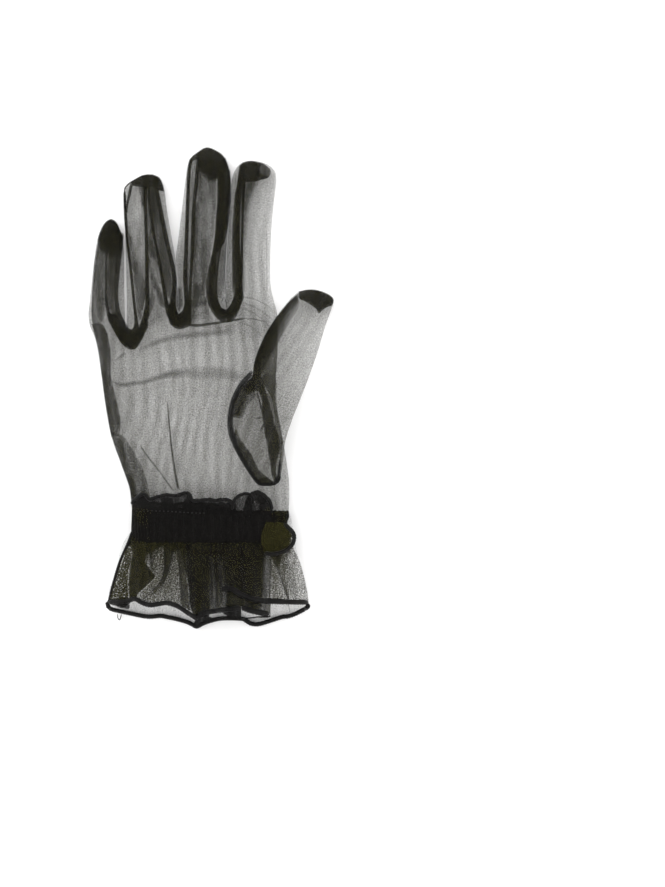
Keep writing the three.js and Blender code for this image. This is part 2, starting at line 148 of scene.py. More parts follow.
LEFT_EDGE = line([
    (136, 540), (132.6, 520), (131.0, 500), (129.6, 489), (126.6, 479), (122.8, 469), (119.0, 458),
    (114.6, 447), (111.0, 435), (108.4, 423), (106.3, 411), (104.4, 398), (101.8, 377.8), (98.6, 355),
    (95, 338), (89.8, 325), (88.6, 314), (90, 300), (92.3, 278), (94.6, 258), (97.5, 239.0), (101.6, 227.4),
    (106.6, 220.8), (111.4, 218.8),
])
LITTLE_RIGHT = line([
    (111.4, 218.8), (116.2, 221.8), (120.2, 229.6), (122.8, 239), (124.0, 259.5), (124.4, 296.5),
    (125.2, 322), (126.2, 331.5),
])
RING_LEFT = line([
    (126.2, 331.5), (126.7, 322), (126.6, 296.5), (126.0, 259.5), (125.2, 235), (124.4, 212), (123.8, 196),
    (124.2, 188), (128.5, 182.9), (135, 178.8), (141.5, 175.3), (147.5, 173.9),
])
RING_RIGHT = line([
    (147.5, 173.9), (154, 174.6), (159.5, 177.4), (162.8, 183.5), (164.6, 191), (166.9, 209.5), (172.3, 241),
    (175.2, 257.6), (176.7, 272), (177.8, 290), (179.0, 313),
])
MIDDLE_LEFT = line([
    (179.0, 313), (178.2, 290), (177.1, 272), (175.8, 257.6), (178.0, 241), (182.6, 204), (186.2, 175),
    (187.8, 164.5), (191, 157.2), (198, 151.6), (203, 148.3), (207, 146.9),
])
MIDDLE_RIGHT = line([
    (207, 146.9), (213.7, 149), (222.8, 154.8), (227.3, 162.2), (229.9, 173), (230.4, 190), (229.4, 204),
    (227.8, 230), (226.4, 255), (224.8, 280), (224.4, 293), (226, 309.6),
])
INDEX_LEFT = line([
    (226, 309.6), (224.8, 293), (225.2, 280), (226.8, 255), (228.2, 230), (229.8, 204), (231.0, 190),
    (231.8, 180), (234.4, 171.8), (239.8, 164.0), (245.4, 161.3), (251.7, 160.5),
])
RIGHT_EDGE = line([
    (251.7, 160.5), (261.9, 162.2), (270.5, 166.6), (275.2, 172.2), (276.1, 181), (275.0, 192), (273.5, 204),
    (271.4, 228), (270.2, 255), (270.2, 280), (271.2, 290), (273.6, 300), (277.0, 313), (278.0, 330),
    (277.6, 352), (276.2, 378), (276.6, 400), (279.6, 424), (283.8, 445), (287.4, 468), (289.2, 485),
    (289.2, 500), (288.6, 512), (287.6, 524), (286, 540),
])
OUTLINE = [LEFT_EDGE, LITTLE_RIGHT, RING_LEFT, RING_RIGHT, MIDDLE_LEFT, MIDDLE_RIGHT, INDEX_LEFT, RIGHT_EDGE]

# The seams of the forked strips, from one fingertip down round the crotch to the next: on the palm
# face (front) and on the back. The third column is the seam allowance's width, in pixels.
SEAMS = {
    "little_ring": {
        "front": line([
            (122.2, 232.4, 4), (120.4, 243, 6), (118.9, 255.4, 6.4), (116.9, 275, 6), (116.1, 292, 5),
            (116.8, 304, 4.6), (118.9, 315.3, 6), (121.8, 324, 9), (125.4, 331.6, 11), (130.6, 335.4, 12),
            (135, 331.6, 9), (136.4, 324, 5), (135.5, 315, 3.4), (133.6, 298, 3.2), (130.7, 269, 3.2),
            (127.8, 246, 3), (125.2, 217.3, 2.6), (124.4, 192, 2.6),
        ]),
        "back": line([
            (111.2, 219.8, 2.2), (108.6, 230, 2.2), (107.2, 243, 2.4), (106.2, 262, 2.8), (105.9, 283, 3),
            (106.4, 300, 3.4), (107.8, 310.7, 4), (112.4, 322, 5), (118, 332.6, 6), (123.6, 340.4, 8),
            (130.4, 343.6, 9), (137.4, 337.4, 9), (142.4, 327, 8.4), (145.9, 315, 7), (147.2, 304, 5.4),
            (147.2, 285, 4.6), (147, 269, 4.4), (146.4, 240, 4.2), (145.4, 200, 4.2), (145.4, 175.6, 5),
        ]),
        "sides": (LITTLE_RIGHT, RING_LEFT),
    },
    "ring_middle": {
        "front": line([
            (155.2, 176, 5), (157, 192, 5), (159.6, 205, 5), (163, 223, 5), (168.4, 248.4, 5),
            (173.2, 269, 4.6), (174.6, 284, 5), (173.4, 296, 6), (172.8, 307, 8), (174.6, 316, 9),
            (179, 320, 12), (184.2, 316, 9), (187, 307, 7), (186.6, 298, 5.4), (185.2, 276, 5),
            (186.4, 242, 4.4), (187.6, 205, 4), (189, 172, 4), (191.4, 157.8, 3.4),
        ]),
        "back": line([
            (149.2, 174.4, 3), (149.6, 205, 3), (153.4, 232, 3.2), (157.4, 252, 3.2), (161.6, 275, 3.4),
            (164, 290, 4), (166.6, 304, 5), (170, 316, 6.4), (178.8, 324.2, 8), (186.6, 319, 7),
            (189.4, 304, 5), (190.4, 285, 3.4), (191.6, 262, 3.4), (193.2, 220, 3.8), (194.8, 197.6, 4),
            (197, 175.8, 4), (199, 151.6, 4),
        ]),
        "sides": (RING_RIGHT, MIDDLE_LEFT),
    },
    "middle_index": {
        "front": line([
            (224.2, 157.4, 4), (222, 176, 6), (221, 204, 6), (217.8, 235, 6), (214.2, 258, 5),
            (211.6, 280, 5), (211, 292, 5), (213.2, 304, 6), (219.6, 313, 7), (227, 315.6, 8), (234, 311, 7),
            (239.6, 300, 6), (240.4, 285, 5), (237.6, 242, 5), (238, 204, 5), (239.6, 182, 5),
            (241.2, 164.4, 4),
        ]),
        "back": line([
            (229.3, 168.6, 3), (228, 190, 3.4), (225.8, 212, 3.4), (222, 235, 3.4), (217.8, 262, 3.4),
            (215.8, 283, 3.4), (216.4, 298, 3.4), (220.6, 309, 4), (227, 312, 5), (231.6, 306, 4),
            (236.6, 294, 3.4), (241, 280, 3), (242, 242, 3), (243, 204, 3), (244, 180, 3), (244.8, 162, 3),
        ]),
        "sides": (MIDDLE_RIGHT, INDEX_LEFT),
    },
}

# The oval opening that the thumb is set into.
THUMB_HOLE = line([
    (254, 381), (244, 386), (237, 400), (233, 418), (233.4, 432), (239.4, 449.6), (249, 466.6), (257.6, 478),
    (267, 481.6), (274.4, 479.6), (277, 470), (274.5, 450), (270.5, 425), (264, 402), (257.5, 386),
    (254, 381),
])[:-1]

# Heights, in millimetres.

# Palm: place along the glove, height, underside, and how far in from the edge the top is full.
PALM = [
    (-90, 11.2, 2.7, 13), (-52, 11.2, 2.7, 14), (-43, 12.9, 1.2, 16), (-28, 14.6, 0, 18), (-15, 15, 0, 19),
    (0, 15, 0, 19), (7, 13.8, 0, 18), (15, 14.6, 0, 15), (26, 12.6, 0, 11), (40, 12, 0, 10),
]
# Fingers: place along the glove, height and where the middle is across it.
FINGERS = [
    [(8, 9.5, -48), (33, 11, -52.2), (58, 10.3, -51.4), (71, 9, -50.8), (79, 7.4, -50.4), (84.5, 3, -50.3)],
    [(10, 10, -30), (36, 12, -29.5), (67, 11.2, -30.8), (89, 10, -33.2), (98, 9, -33.9), (107, 3, -31.2)],
    [(14, 10, -4.4), (43, 12.5, -4.4), (74, 11.5, -4.6), (104, 10, -1.8), (112, 9, -1.8), (120.4, 3.4, -2.4)],
    [(16, 10, 19.5), (44, 12, 19), (66, 11.5, 18.4), (87, 10.8, 20), (105, 9.5, 21.1), (113.4, 3.6, 20)],
]
FINGER_SPREAD = 8.0  # mm, how quickly one finger's height gives way to the next
FINGER_ROUND = 9.0  # mm in from the edge where a finger's top is full
ROOT_LOW, ROOT_HIGH = 14.0, 34.0  # where the palm's heights give way to the fingers'
# Creases across the palm: ends, depth and half width, all in millimetres.
CREASES = [
    ((-52, 1), (-10, 9.5), 0.8, 1.6),
    ((-11, 31.7), (17, 34.6), 0.7, 1.0),
    ((-24, 28), (6, 29), 0.7, 2.2),
    ((-21.6, -8), (-17, -50), 0.6, 0.8),
    ((-27, -41), (-19, -52), 0.5, 0.8),
]
TOP_ROUND, UNDER_ROUND = 2.7, 4.2  # the power of the rounding of a top and of an underside
UNDER_FLAT = 1.08  # above 1, so that an underside is flat before it reaches its middle

EDGE = finder([
    (a[0] + (b[0] - a[0]) * t, a[1] + (b[1] - a[1]) * t)
    for part in OUTLINE
    for a, b in zip(part, part[1:])
    for t in (0.0, 0.33, 0.67)
])


def from_edge(x, y):
    """How far in from the hand's outline a place lies."""
    return EDGE.find((x, y, 0))[2]


def hand_section(x, y):
    """Underside, height and rounding of the hand at one place."""
    share = ease(ROOT_LOW, ROOT_HIGH, y)
    height, base, round_in = (table(PALM, y, i) for i in (1, 2, 3))
    if share > 0:
        weights = [math.exp(-(((x - table(rows, y, 2)) / FINGER_SPREAD) ** 2)) + 1e-9 for rows in FINGERS]
        tall = sum(w * table(rows, y, 1) for w, rows in zip(weights, FINGERS)) / sum(weights)
        height += (tall - height) * share
        round_in += (FINGER_ROUND - round_in) * share
    return base, height, round_in


def dome(share, power):
    """The rounding of a section: 0 at its edge, 1 where it is full."""
    share = min(max(share, 0.0), 1.0)
    return (1 - (1 - share) ** power) ** (1 / power)


def under_dome(share):
    """The same for an underside."""
    return min(1.0, UNDER_FLAT * dome(share, UNDER_ROUND))


def crease_at(x, y):
    """How deep the creases are at one place; each fades out at its ends."""
    deep = 0.0
    for (ax, ay), (bx, by), depth, wide in CREASES:
        run = ((x - ax) * (bx - ax) + (y - ay) * (by - ay)) / ((bx - ax) ** 2 + (by - ay) ** 2)
        if -0.1 < run < 1.1:
            off = math.dist((x, y), (ax + (bx - ax) * run, ay + (by - ay) * run)) / wide
            ends = ease(-0.1, 0.12, run) * (1 - ease(0.88, 1.1, run))
            deep += depth * ends * math.exp(-off * off)
    return deep


def ripple(x, y, size, seed=0.0):
    """Soft crumple, from -1 to 1."""
    return noise.noise(Vector((x / size, y / size, seed)))


def hand_top(x, y, lift=0.0):
    """The palm's height with its crumple and creases, which fade towards its edge."""
    base, height, round_in = hand_section(x, y)
    inside = from_edge(x, y)
    up = dome(inside / round_in, TOP_ROUND)
    wave = 0.45 * ripple(x, y * 0.45, 7.0) + 0.25 * ripple(x, y, 3.0, 5.0)
    z = base + height / 2 * (1 + up) + (wave - crease_at(x, y)) * min(inside / 4, 1.0)
    return z + lift * min(inside, 1.0)


def hand_bottom(x, y, lift=0.0):
    """The height of the back, a little off the table."""
    base, height, round_in = hand_section(x, y)
    inside = from_edge(x, y)
    down = under_dome(inside / round_in)
    return base + height / 2 * (1 - down) + 0.15 + lift * min(inside, 1.0)


# The thumb on its way from its oval hole to its tip: left x, y, z, right x, y, z and thickness.
THUMB = smooth([
    (22.6, -48.6, 13.0, 31.4, -48.6, 13.0, 3.0), (16.6, -43, 13.4, 34.6, -42, 14.4, 6.5),
    (10.2, -29.5, 13.6, 36.2, -29, 17.0, 8.5), (8.2, -16.5, 14.2, 40.6, -18, 18.6, 9.0),
    (10.6, -5, 15.2, 44.8, -7, 18.4, 9.0), (17.2, 4, 17.4, 48.4, 2, 17.0, 9.0),
    (21.2, 13, 19.2, 51.8, 11, 15.0, 9.0), (24.2, 21.5, 18.6, 54.8, 19.5, 12.2, 9.0),
    (28.6, 30, 17.4, 57.2, 27.5, 9.0, 9.0), (34.4, 38, 12.8, 59.0, 35.5, 5.8, 8.8),
    (39.2, 44, 7.0, 60.4, 41.5, 4.2, 8.2), (42.6, 47, 4.2, 59.8, 45.0, 3.4, 6.6),
    (46.6, 48.6, 2.2, 55.2, 47.8, 2.0, 3.8),
])
FOLD_EDGE = sorted((y, x) for x, y in RIGHT_EDGE)


def thumb_section(x, y):
    """The height of the thumb's middle at a place, and half its thickness there."""
    low, high = 0.0, len(THUMB) - 1.001
    for _ in range(20):
        at = (low + high) / 2
        i = int(at)
        row = [a + (b - a) * (at - i) for a, b in zip(THUMB[i], THUMB[i + 1])]
        share = (x - row[0]) / (row[3] - row[0])
        if row[1] + (row[4] - row[1]) * share < y:
            low = at
        else:
            high = at
    share = min(max(share, 0.0), 1.0)
    rise = row[6] / 2 * dome(1 - abs(2 * share - 1), TOP_ROUND)
    return row[2] + (row[5] - row[2]) * share, rise


def over_palm(x, y, z, clear):
    """A height kept clear above the palm, wherever a place lies on the palm."""
    return max(z, hand_top(x, y) + clear) if x < table(FOLD_EDGE, y, 1) - 0.4 else z


def thumb_top(x, y, lift=0.0):
    middle, rise = thumb_section(x, y)
    wave = 0.3 * ripple(x + y, (x - y) * 0.4, 5.0, 9.0)
    return over_palm(x, y, middle + rise + wave * min(rise, 1.0), 0.9) + lift


def thumb_bottom(x, y, lift=0.0):
    middle, rise = thumb_section(x, y)
    return over_palm(x, y, middle - rise, 0.45) + lift


# Cuff, from the hem to the edge of its heading: place along the glove, left, right, underside, height.
CUFF = [
    (-110, -51.8, 47.6, 0.7, 19.4), (-94, -48.6, 45.4, 0, 18.6), (-83.5, -44.4, 42.0, 0.3, 16.6),
    (-77.4, -40.2, 39.0, 1.4, 13.8), (-61.6, -39.8, 38.6, 1.4, 13.8), (-58, -40.4, 39.2, 0.5, 16.2),
    (-53.6, -41.2, 40.6, 0, 18.4),
]
SKIRT_TOP, SKIRT_LENGTH = -77.0, 33.0
FINE_PLEATS = 31  # from one fold at the side to the other
# The skirt's fuller folds: how far across the glove from left to right, half width as a share of the whole
# width, and height at the hem. Those of the lower side stand up off the table.
UPPER_FOLDS = [
    (0.05, 0.02, 1.6), (0.13, 0.03, 2.6), (0.22, 0.025, 2.0), (0.33, 0.03, 3.6), (0.43, 0.022, 3.0),
    (0.5, 0.018, 2.2), (0.57, 0.024, 3.8), (0.66, 0.024, 2.6), (0.76, 0.03, 3.4), (0.86, 0.024, 1.6),
    (0.94, 0.02, 1.4),
]
LOWER_FOLDS = [(0.15, 0.03, 1.0), (0.3, 0.03, 1.6), (0.47, 0.03, 2.2), (0.6, 0.025, 1.4), (0.77, 0.03, 1.8)]


def cuff_section(x, y):
    """Underside and height of the cuff at one place, how far across it lies and how far in."""
    left, right, base, height = (table(CUFF, y, i) for i in (1, 2, 3, 4))
    across = min(max((x - left) / (right - left), 0.0), 1.0)
    return base, height, across, 1 - abs(2 * across - 1)


def folds_at(folds, across, y, seed):
    """How far the gathers lift the ruffle: fine pleats at the band, fuller folds towards the hem."""
    down = min(max((SKIRT_TOP - y) / SKIRT_LENGTH, 0.0), 1.2)
    full = sum(rise * math.exp(-(((across - at) / wide) ** 2)) for at, wide, rise in folds)
    sway = 2.2 * noise.noise(Vector((across * 9, y / 16, seed)))
    fine = 0.4 * math.sin(2 * math.pi * FINE_PLEATS * across + sway) * math.exp(-2.2 * down)
    return full * down**0.8 + fine * min(1.0, 4 * across, 4 * (1 - across))


def cuff_top(x, y, lift=0.0):
    """The height of the cuff's upper side with its folds."""
    base, height, across, inside = cuff_section(x, y)
    z = base + height / 2 * (1 + dome(inside, TOP_ROUND))
    return z + folds_at(UPPER_FOLDS, across, y, 3.0) * min(1.0, inside * 6) + lift


def cuff_bottom(x, y, lift=0.0):
    """The height of the cuff's lower side, kept off the table."""
    base, height, across, inside = cuff_section(x, y)
    z = base + height / 2 * (1 - under_dome(inside))
    return max(z + folds_at(LOWER_FOLDS, across, y, 6.0) * min(1.0, inside * 6), 0.3) + lift


# Ways of making cloth.


def place_object(name, data, place=(0, 0, 0)):
    """A Blender object for some data, linked into the scene."""
    thing = bpy.data.objects.new(name, data)
    thing.location = place
    bpy.context.scene.collection.objects.link(thing)
    return thing


def finish_piece(name, bm, material, replaced=()):
    """One Blender object from millimetres, riding on the glove, with its material and slot."""
    # what stands higher looks larger from above, so it is drawn in to where its pixels show it
    for v in bm.verts:
        near = (EYE_Z - v.co.z) / (EYE_Z - PLAN_HEIGHT)
        v.co.x = EYE_X + (v.co.x - EYE_X) * near
        v.co.y = EYE_Y + (v.co.y - EYE_Y) * near
    bmesh.ops.scale(bm, vec=(MM, MM, MM), verts=bm.verts)
    mesh = bpy.data.meshes.new(name)
    bm.to_mesh(mesh)
    bm.free()
    mesh.materials.append(material)
    mesh.polygons.foreach_set("use_smooth", [True] * len(mesh.polygons))
    piece = place_object(name, mesh)
    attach(piece, "root")
    if replaced:
        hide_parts(*replaced)


def new_cloth():
    """An empty mesh that carries the cloth's flat places and its layers."""
    bm = bmesh.new()
    bm.loops.layers.uv.new("cloth")
    bm.verts.layers.float.new("layers")
    return bm


def lay_turned(bm, faces, turn):
    """Flat cloth places, in metres, for the net's threads: the plan turned by an angle and shifted."""
    shift = 7.3 * turn, 3.1 * turn
    uv = bm.loops.layers.uv["cloth"]
    c, s = math.cos(turn), math.sin(turn)
    for face in faces:
        for corner in face.loops:
            x, y, _ = corner.vert.co
            corner[uv].uv = ((c * x - s * y) * MM + shift[0], (s * x + c * y) * MM + shift[1])


def lay_flat(bm, flat):
    """Gives the faces of some vertices their flat cloth places, and returns these faces."""
    uv = bm.loops.layers.uv["cloth"]
    faces = {face for v in flat for face in v.link_faces}
    for face in faces:
        for corner in face.loops:
            corner[uv].uv = flat[corner.vert]
    return faces


def grid(bm, across, along):
    """A square grid from -1 to 1, and a way to set the layers of its vertices."""
    made = bmesh.ops.create_grid(bm, x_segments=across, y_segments=along, size=1.0)["verts"]
    return made, bm.verts.layers.float["layers"]


def running_lengths(rows, columns):
    """How far along a line each of its rows lies."""
    lengths = [0.0]
    for a, b in zip(rows, rows[1:]):
        lengths.append(lengths[-1] + math.dist(a[:columns], b[:columns]))
    return lengths


def panel(bm, loops, height, layers=lambda x, y: 1.0, turn=0.0, pitch=PITCH, down=False):
    """Flat cloth cut to plan loops, gridded by straight cuts and lifted to a height."""
    own = bmesh.new()
    for loop in loops:
        corners = [own.verts.new((row[0], row[1], 0)) for row in loop]
        for a, b in zip(corners, corners[1:] + corners[:1]):
            own.edges.new((a, b))
    bmesh.ops.remove_doubles(own, verts=own.verts, dist=0.02)
    bmesh.ops.triangle_fill(own, edges=own.edges, use_beauty=True)
    for axis, normal in enumerate(((1, 0, 0), (0, 1, 0))):
        places = [v.co[axis] for v in own.verts]
        first = math.ceil(min(places) / pitch)
        for k in range(first, math.floor(max(places) / pitch) + 1):
            whole = own.verts[:] + own.edges[:] + own.faces[:]
            at = [k * pitch + CUT_SHIFT if i == axis else 0 for i in range(3)]
            bmesh.ops.bisect_plane(own, geom=whole, dist=0.01, plane_co=at, plane_no=normal)
    for face in own.faces:
        if (face.normal.z < 0) != down:
            face.normal_flip()
    mesh = bpy.data.meshes.new("cut")
    own.to_mesh(mesh)
    own.free()
    had_faces, had_verts = len(bm.faces), len(bm.verts)
    bm.from_mesh(mesh)
    bpy.data.meshes.remove(mesh)
    bm.verts.ensure_lookup_table()
    bm.faces.ensure_lookup_table()
    lay_turned(bm, bm.faces[had_faces:], turn)
    amount = bm.verts.layers.float["layers"]
    for v in bm.verts[had_verts:]:
        v[amount] = layers(v.co.x, v.co.y)
        v.co.z = height(v.co.x, v.co.y)


def strip(bm, rows, across=4, soft=0.35, taper=2.0):
    """A narrow run of doubled cloth along rows of x, y, z, width and layers, thinning to its sides."""
    steps = len(rows) - 1
    made, amount = grid(bm, across, steps)
    lengths = running_lengths(rows, 2)
    flat = {}
    for v in made:
        side = v.co.x
        i = round((v.co.y + 1) / 2 * steps)
        x, y, height, width, layers = rows[i]
        a, b = rows[max(i - 1, 0)], rows[min(i + 1, steps)]
        ahead = Vector((b[0] - a[0], b[1] - a[1])).normalized()
        place = Vector((x - ahead.y * side * width / 2, y + ahead.x * side * width / 2))
        ends = min(1.0, lengths[i] / taper, (lengths[-1] - lengths[i]) / taper)
        v[amount] = layers * ends * (1 - ease(1 - soft, 1.0, abs(side)))
        flat[v] = (side * width / 2 * MM, lengths[i] * MM)
        v.co = (place.x, place.y, height(place.x, place.y))
    lay_flat(bm, flat)


def roll(bm, rows, sides=7):
    """A rolled edge along rows of x, y, z and radius: a stitched tube with rounded ends."""
    steps = len(rows) - 1
    made, amount = grid(bm, sides, steps)
    lengths = running_lengths(rows, 3)
    flat = {}
    for v in made:
        turn = (v.co.x + 1) / 2
        i = round((v.co.y + 1) / 2 * steps)
        x, y, z, radius = rows[i]
        a, b = rows[max(i - 1, 0)], rows[min(i + 1, steps)]
        ahead = (Vector(b[:3]) - Vector(a[:3])).normalized()
        out = ahead.cross(Vector((0, 0, 1))).normalized()
        up = out.cross(ahead)
        end = min(1.0, 0.05 + min(lengths[i], lengths[-1] - lengths[i]) / radius)
        stitch = 1 + 0.1 * math.sin(lengths[i] * 2 * math.pi / STITCH)
        angle = 2 * math.pi * turn
        v[amount] = 1.0
        flat[v] = (turn * 2 * math.pi * radius * MM, lengths[i] * MM)
        v.co = Vector((x, y, z)) + (out * math.cos(angle) + up * math.sin(angle)) * radius * end * stitch
    faces = lay_flat(bm, flat)
    bmesh.ops.remove_doubles(bm, verts=made, dist=0.005)
    bmesh.ops.recalc_face_normals(bm, faces=[face for face in faces if face.is_valid])


def feather(points, full):
    """Layers for a patch outline of x, y and softness: full inside, gone at its soft edges."""
    rows = [(x, y, *(soft or (SOFT,))) for x, y, *soft in points]
    rows = line(rows + rows[:1], 0.7)
    nearest = finder(rows)

    def layers(x, y):
        _, i, away = nearest.find((x, y, 0))
        soft = rows[i][2] * PIXEL
        return full * (ease(0.0, 1.0, away / soft) if soft > HARD else 1.0)

    return [row[:2] for row in rows[:-1]], layers


def doubling(bm, height, layers, points, lift=-0.3, turn=0.0, pitch=PITCH):
    """One more thickness of cloth under or on another, within a soft outline, or a patch of painted shade
    laid the same way.
    """
    loop, fade = feather(points, layers)
    panel(bm, [loop], lambda x, y: height(x, y, lift), fade, turn=turn, pitch=pitch)


def on_cloth(rows, height, layers, lift=0.0):
    """Rows of x, y in millimetres and width in pixels as a strip's rows."""
    return [(x, y, lambda x, y: height(x, y, lift), width * PIXEL, layers) for x, y, width in rows]


# Materials.

THREADS = 1750.0  # net threads per metre
WOVEN = 0.68  # the mean of two crossed threads' waves
STRAY, STRAYS = 0.0012, 160.0  # how far in metres a thread strays, and how often per metre
STREAKS, STREAK_SHAPE = 1250.0, (1.0, 0.15, 1.0)  # long loose fibres per metre, drawn out along them
FIBRES, FIBRE_SHARE = 1400.0, 2.6  # short loose fibres per metre, and how much more they show
# Where two nets lie over one another, their threads drift in and out of step in soft bands.
BANDS_EACH_METRE = 165.0
DRIFT, DRIFTS, DRIFT_SHAPE = 4.0, 26.0, (1.0, 0.5, 1.0)  # how many bands they drift, how often
MOST_COVER = 0.98
TINTS, PALER, DARKER = 260.0, 1.4, 0.7  # changes of tint per metre, and how far they go
THREAD_HEIGHT = 0.0002  # metres


def set_inputs(node, values):
    """Constants on a node's own sockets."""
    for name, value in values.items():
        node.inputs[name].default_value = value


def net_group():
    """How much of the light one piece of net stops: crossed threads over loose fibres."""
    group = bpy.data.node_groups.new("crossed net", "ShaderNodeTree")
    face = group.interface
    face.new_socket("Cloth", in_out="INPUT", socket_type="NodeSocketVector")
    for name in ("Layers", "Cover", "Weave", "Grain", "Bands", "Fineness"):
        face.new_socket(name, in_out="INPUT", socket_type="NodeSocketFloat")
    for name in ("Alpha", "Height"):
        face.new_socket(name, in_out="OUTPUT", socket_type="NodeSocketFloat")
    add = group.nodes.new
    link = group.links.new
    given = add("NodeGroupInput").outputs
    result = add("NodeGroupOutput").inputs

    def math_node(kind, a, b=None, c=None):
        node = add("ShaderNodeMath")
        node.operation = kind
        for i, value in enumerate((a, b, c)):
            if isinstance(value, (int, float)):
                node.inputs[i].default_value = value
            elif value is not None:
                link(value, node.inputs[i])
        return node.outputs[0]

    def fibre(scale, detail, stretch=None, source=given["Cloth"]):
        if stretch:
            mapping = add("ShaderNodeMapping")
            set_inputs(mapping, {"Scale": stretch})
            link(source, mapping.inputs["Vector"])
            source = mapping.outputs[0]
        node = add("ShaderNodeTexNoise")
        set_inputs(node, {"Scale": scale, "Detail": detail})
        link(source, node.inputs["Vector"])
        return node.outputs

    fine = add("ShaderNodeVectorMath")
    fine.operation = "SCALE"
    link(given["Cloth"], fine.inputs[0])
    link(given["Fineness"], fine.inputs["Scale"])
    strayed = add("ShaderNodeVectorMath")
    strayed.operation = "MULTIPLY_ADD"
    link(fibre(STRAYS, 1.0)["Color"], strayed.inputs[0])
    strayed.inputs[1].default_value = (STRAY, STRAY, 0.0)
    link(given["Cloth"], strayed.inputs[2])
    parts = add("ShaderNodeSeparateXYZ")
    link(strayed.outputs[0], parts.inputs[0])
    threads = []
    for axis in ("X", "Y"):
        turns = math_node("MULTIPLY", parts.outputs[axis], THREADS)
        wave = math_node("SINE", math_node("MULTIPLY", turns, 2 * math.pi))
        threads.append(math_node("MULTIPLY_ADD", wave, 0.5, 0.5))
    woven = math_node("MAXIMUM", *threads)
    centred = math_node("SUBTRACT", woven, WOVEN)
    long_fibres = fibre(STREAKS, 3.0, STREAK_SHAPE, fine.outputs[0])["Fac"]
    short_fibres = fibre(FIBRES, 3.0, None, fine.outputs[0])["Fac"]
    streaks = math_node("SUBTRACT", long_fibres, 0.5)
    grain = math_node("SUBTRACT", short_fibres, 0.5)
    loose = math_node("MULTIPLY", math_node("MULTIPLY_ADD", grain, FIBRE_SHARE, streaks), given["Grain"])
    drift = math_node("MULTIPLY", fibre(DRIFTS, 1.0, DRIFT_SHAPE)["Fac"], DRIFT)
    step = math_node("MULTIPLY_ADD", parts.outputs["X"], BANDS_EACH_METRE, drift)
    swell = math_node("SINE", math_node("MULTIPLY", step, 2 * math.pi))
    uneven = math_node("ADD", loose, math_node("MULTIPLY", swell, given["Bands"]))
    swing = math_node("MULTIPLY_ADD", centred, given["Weave"], uneven)
    cover = math_node("MULTIPLY", given["Cover"], math_node("ADD", swing, 1.0))
    held = math_node("MINIMUM", math_node("MAXIMUM", cover, 0.0), MOST_COVER)
    clear = math_node("POWER", math_node("SUBTRACT", 1.0, held), given["Layers"])
    link(math_node("SUBTRACT", 1.0, clear), result["Alpha"])
    link(woven, result["Height"])
    return group


NET = net_group()


def cloth_material(
    name, colour, cover, weave=0.5, grain=1.0, bands=0.12, fineness=1.0, rough=0.62, gloss=0.06
):
    """Black net whose alpha comes from the threads and from the piece's own layers attribute."""
    material = bpy.data.materials.new(name)
    material.use_nodes = True
    nodes, links = material.node_tree.nodes, material.node_tree.links
    shader = nodes["Principled BSDF"]
    set_inputs(shader, {
        "Roughness": rough, "Specular IOR Level": gloss, "Sheen Weight": 0.02, "Sheen Roughness": 0.4,
    })
    uv = nodes.new("ShaderNodeUVMap")
    uv.uv_map = "cloth"
    amount = nodes.new("ShaderNodeAttribute")
    amount.attribute_name = "layers"
    net = nodes.new("ShaderNodeGroup")
    net.node_tree = NET
    set_inputs(net, {
        "Cover": cover, "Weave": weave, "Grain": grain, "Bands": bands, "Fineness": fineness,
    })
    tint = nodes.new("ShaderNodeTexNoise")
    set_inputs(tint, {"Scale": TINTS})
    ramp = nodes.new("ShaderNodeValToRGB")
    for element, share in zip(ramp.color_ramp.elements, (DARKER, PALER)):
        element.color = (*[c * share for c in colour], 1)
    lift = nodes.new("ShaderNodeBump")
    set_inputs(lift, {"Distance": THREAD_HEIGHT, "Strength": 0.6})
    for start, end in (
        (uv.outputs[0], net.inputs["Cloth"]),
        (amount.outputs["Fac"], net.inputs["Layers"]),
        (net.outputs["Alpha"], shader.inputs["Alpha"]),
        (uv.outputs[0], tint.inputs["Vector"]),
        (tint.outputs["Fac"], ramp.inputs[0]),
        (ramp.outputs[0], shader.inputs["Base Color"]),
        (net.outputs["Height"], lift.inputs["Height"]),
        (lift.outputs[0], shader.inputs["Normal"]),
    ):
        links.new(start, end)
    return material


BLACK = (0.0055, 0.0052, 0.0048)
WARM_BLACK = (0.018, 0.0168, 0.004)  # single net, where light comes through its threads
THREAD_BLACK = (0.035, 0.035, 0.034)
PALM_NET = cloth_material("sheer palm net", WARM_BLACK, 0.2885, grain=0.95, bands=0.17)
SIDE_NET = cloth_material("sheer side net", WARM_BLACK, 0.269)
THUMB_NET = cloth_material("sheer thumb net", WARM_BLACK, 0.289, grain=1.1)
CUFF_NET = cloth_material("ruffle net", WARM_BLACK, 0.316, grain=2.0, fineness=1.15)
CROSSED_NET = cloth_material("crossed ruffle net", WARM_BLACK, 0.32, grain=2.4)
DOUBLED = cloth_material("doubled net", BLACK, 0.335, weave=0.25, grain=0.5)
SHIRRED = cloth_material("shirred net over elastic", BLACK, 0.6, weave=0.3, grain=0.6, gloss=0.03)
OVERLOCK = cloth_material("overlocked thread", BLACK, 0.97, weave=0.1, grain=0.05, rough=0.5, gloss=0.12)
TOPSTITCH = cloth_material("topstitch thread", THREAD_BLACK, 0.97, weave=0.1, grain=0.05, rough=0.5)

# Palm, back and fingers.


def between(outline, seam_end, keep_first):
    """The part of an outline before, or after, the place where a seam meets it."""
    near = min(range(len(outline)), key=lambda i: math.dist(outline[i][:2], seam_end[:2]))
    return outline[:near] if keep_first else outline[near + 1 :]


def hand_loop(face):
    """The outline of the trank on one face: round each fingertip and down the seams between."""
    loop = list(LEFT_EDGE)
    for seam in SEAMS.values():
        left, right = seam["sides"]
        loop += between(left, seam[face][0], True)[1:]
        loop += seam[face]
        loop += between(right, seam[face][-1], False)
    return [row[:2] for row in loop + RIGHT_EDGE[1:]]


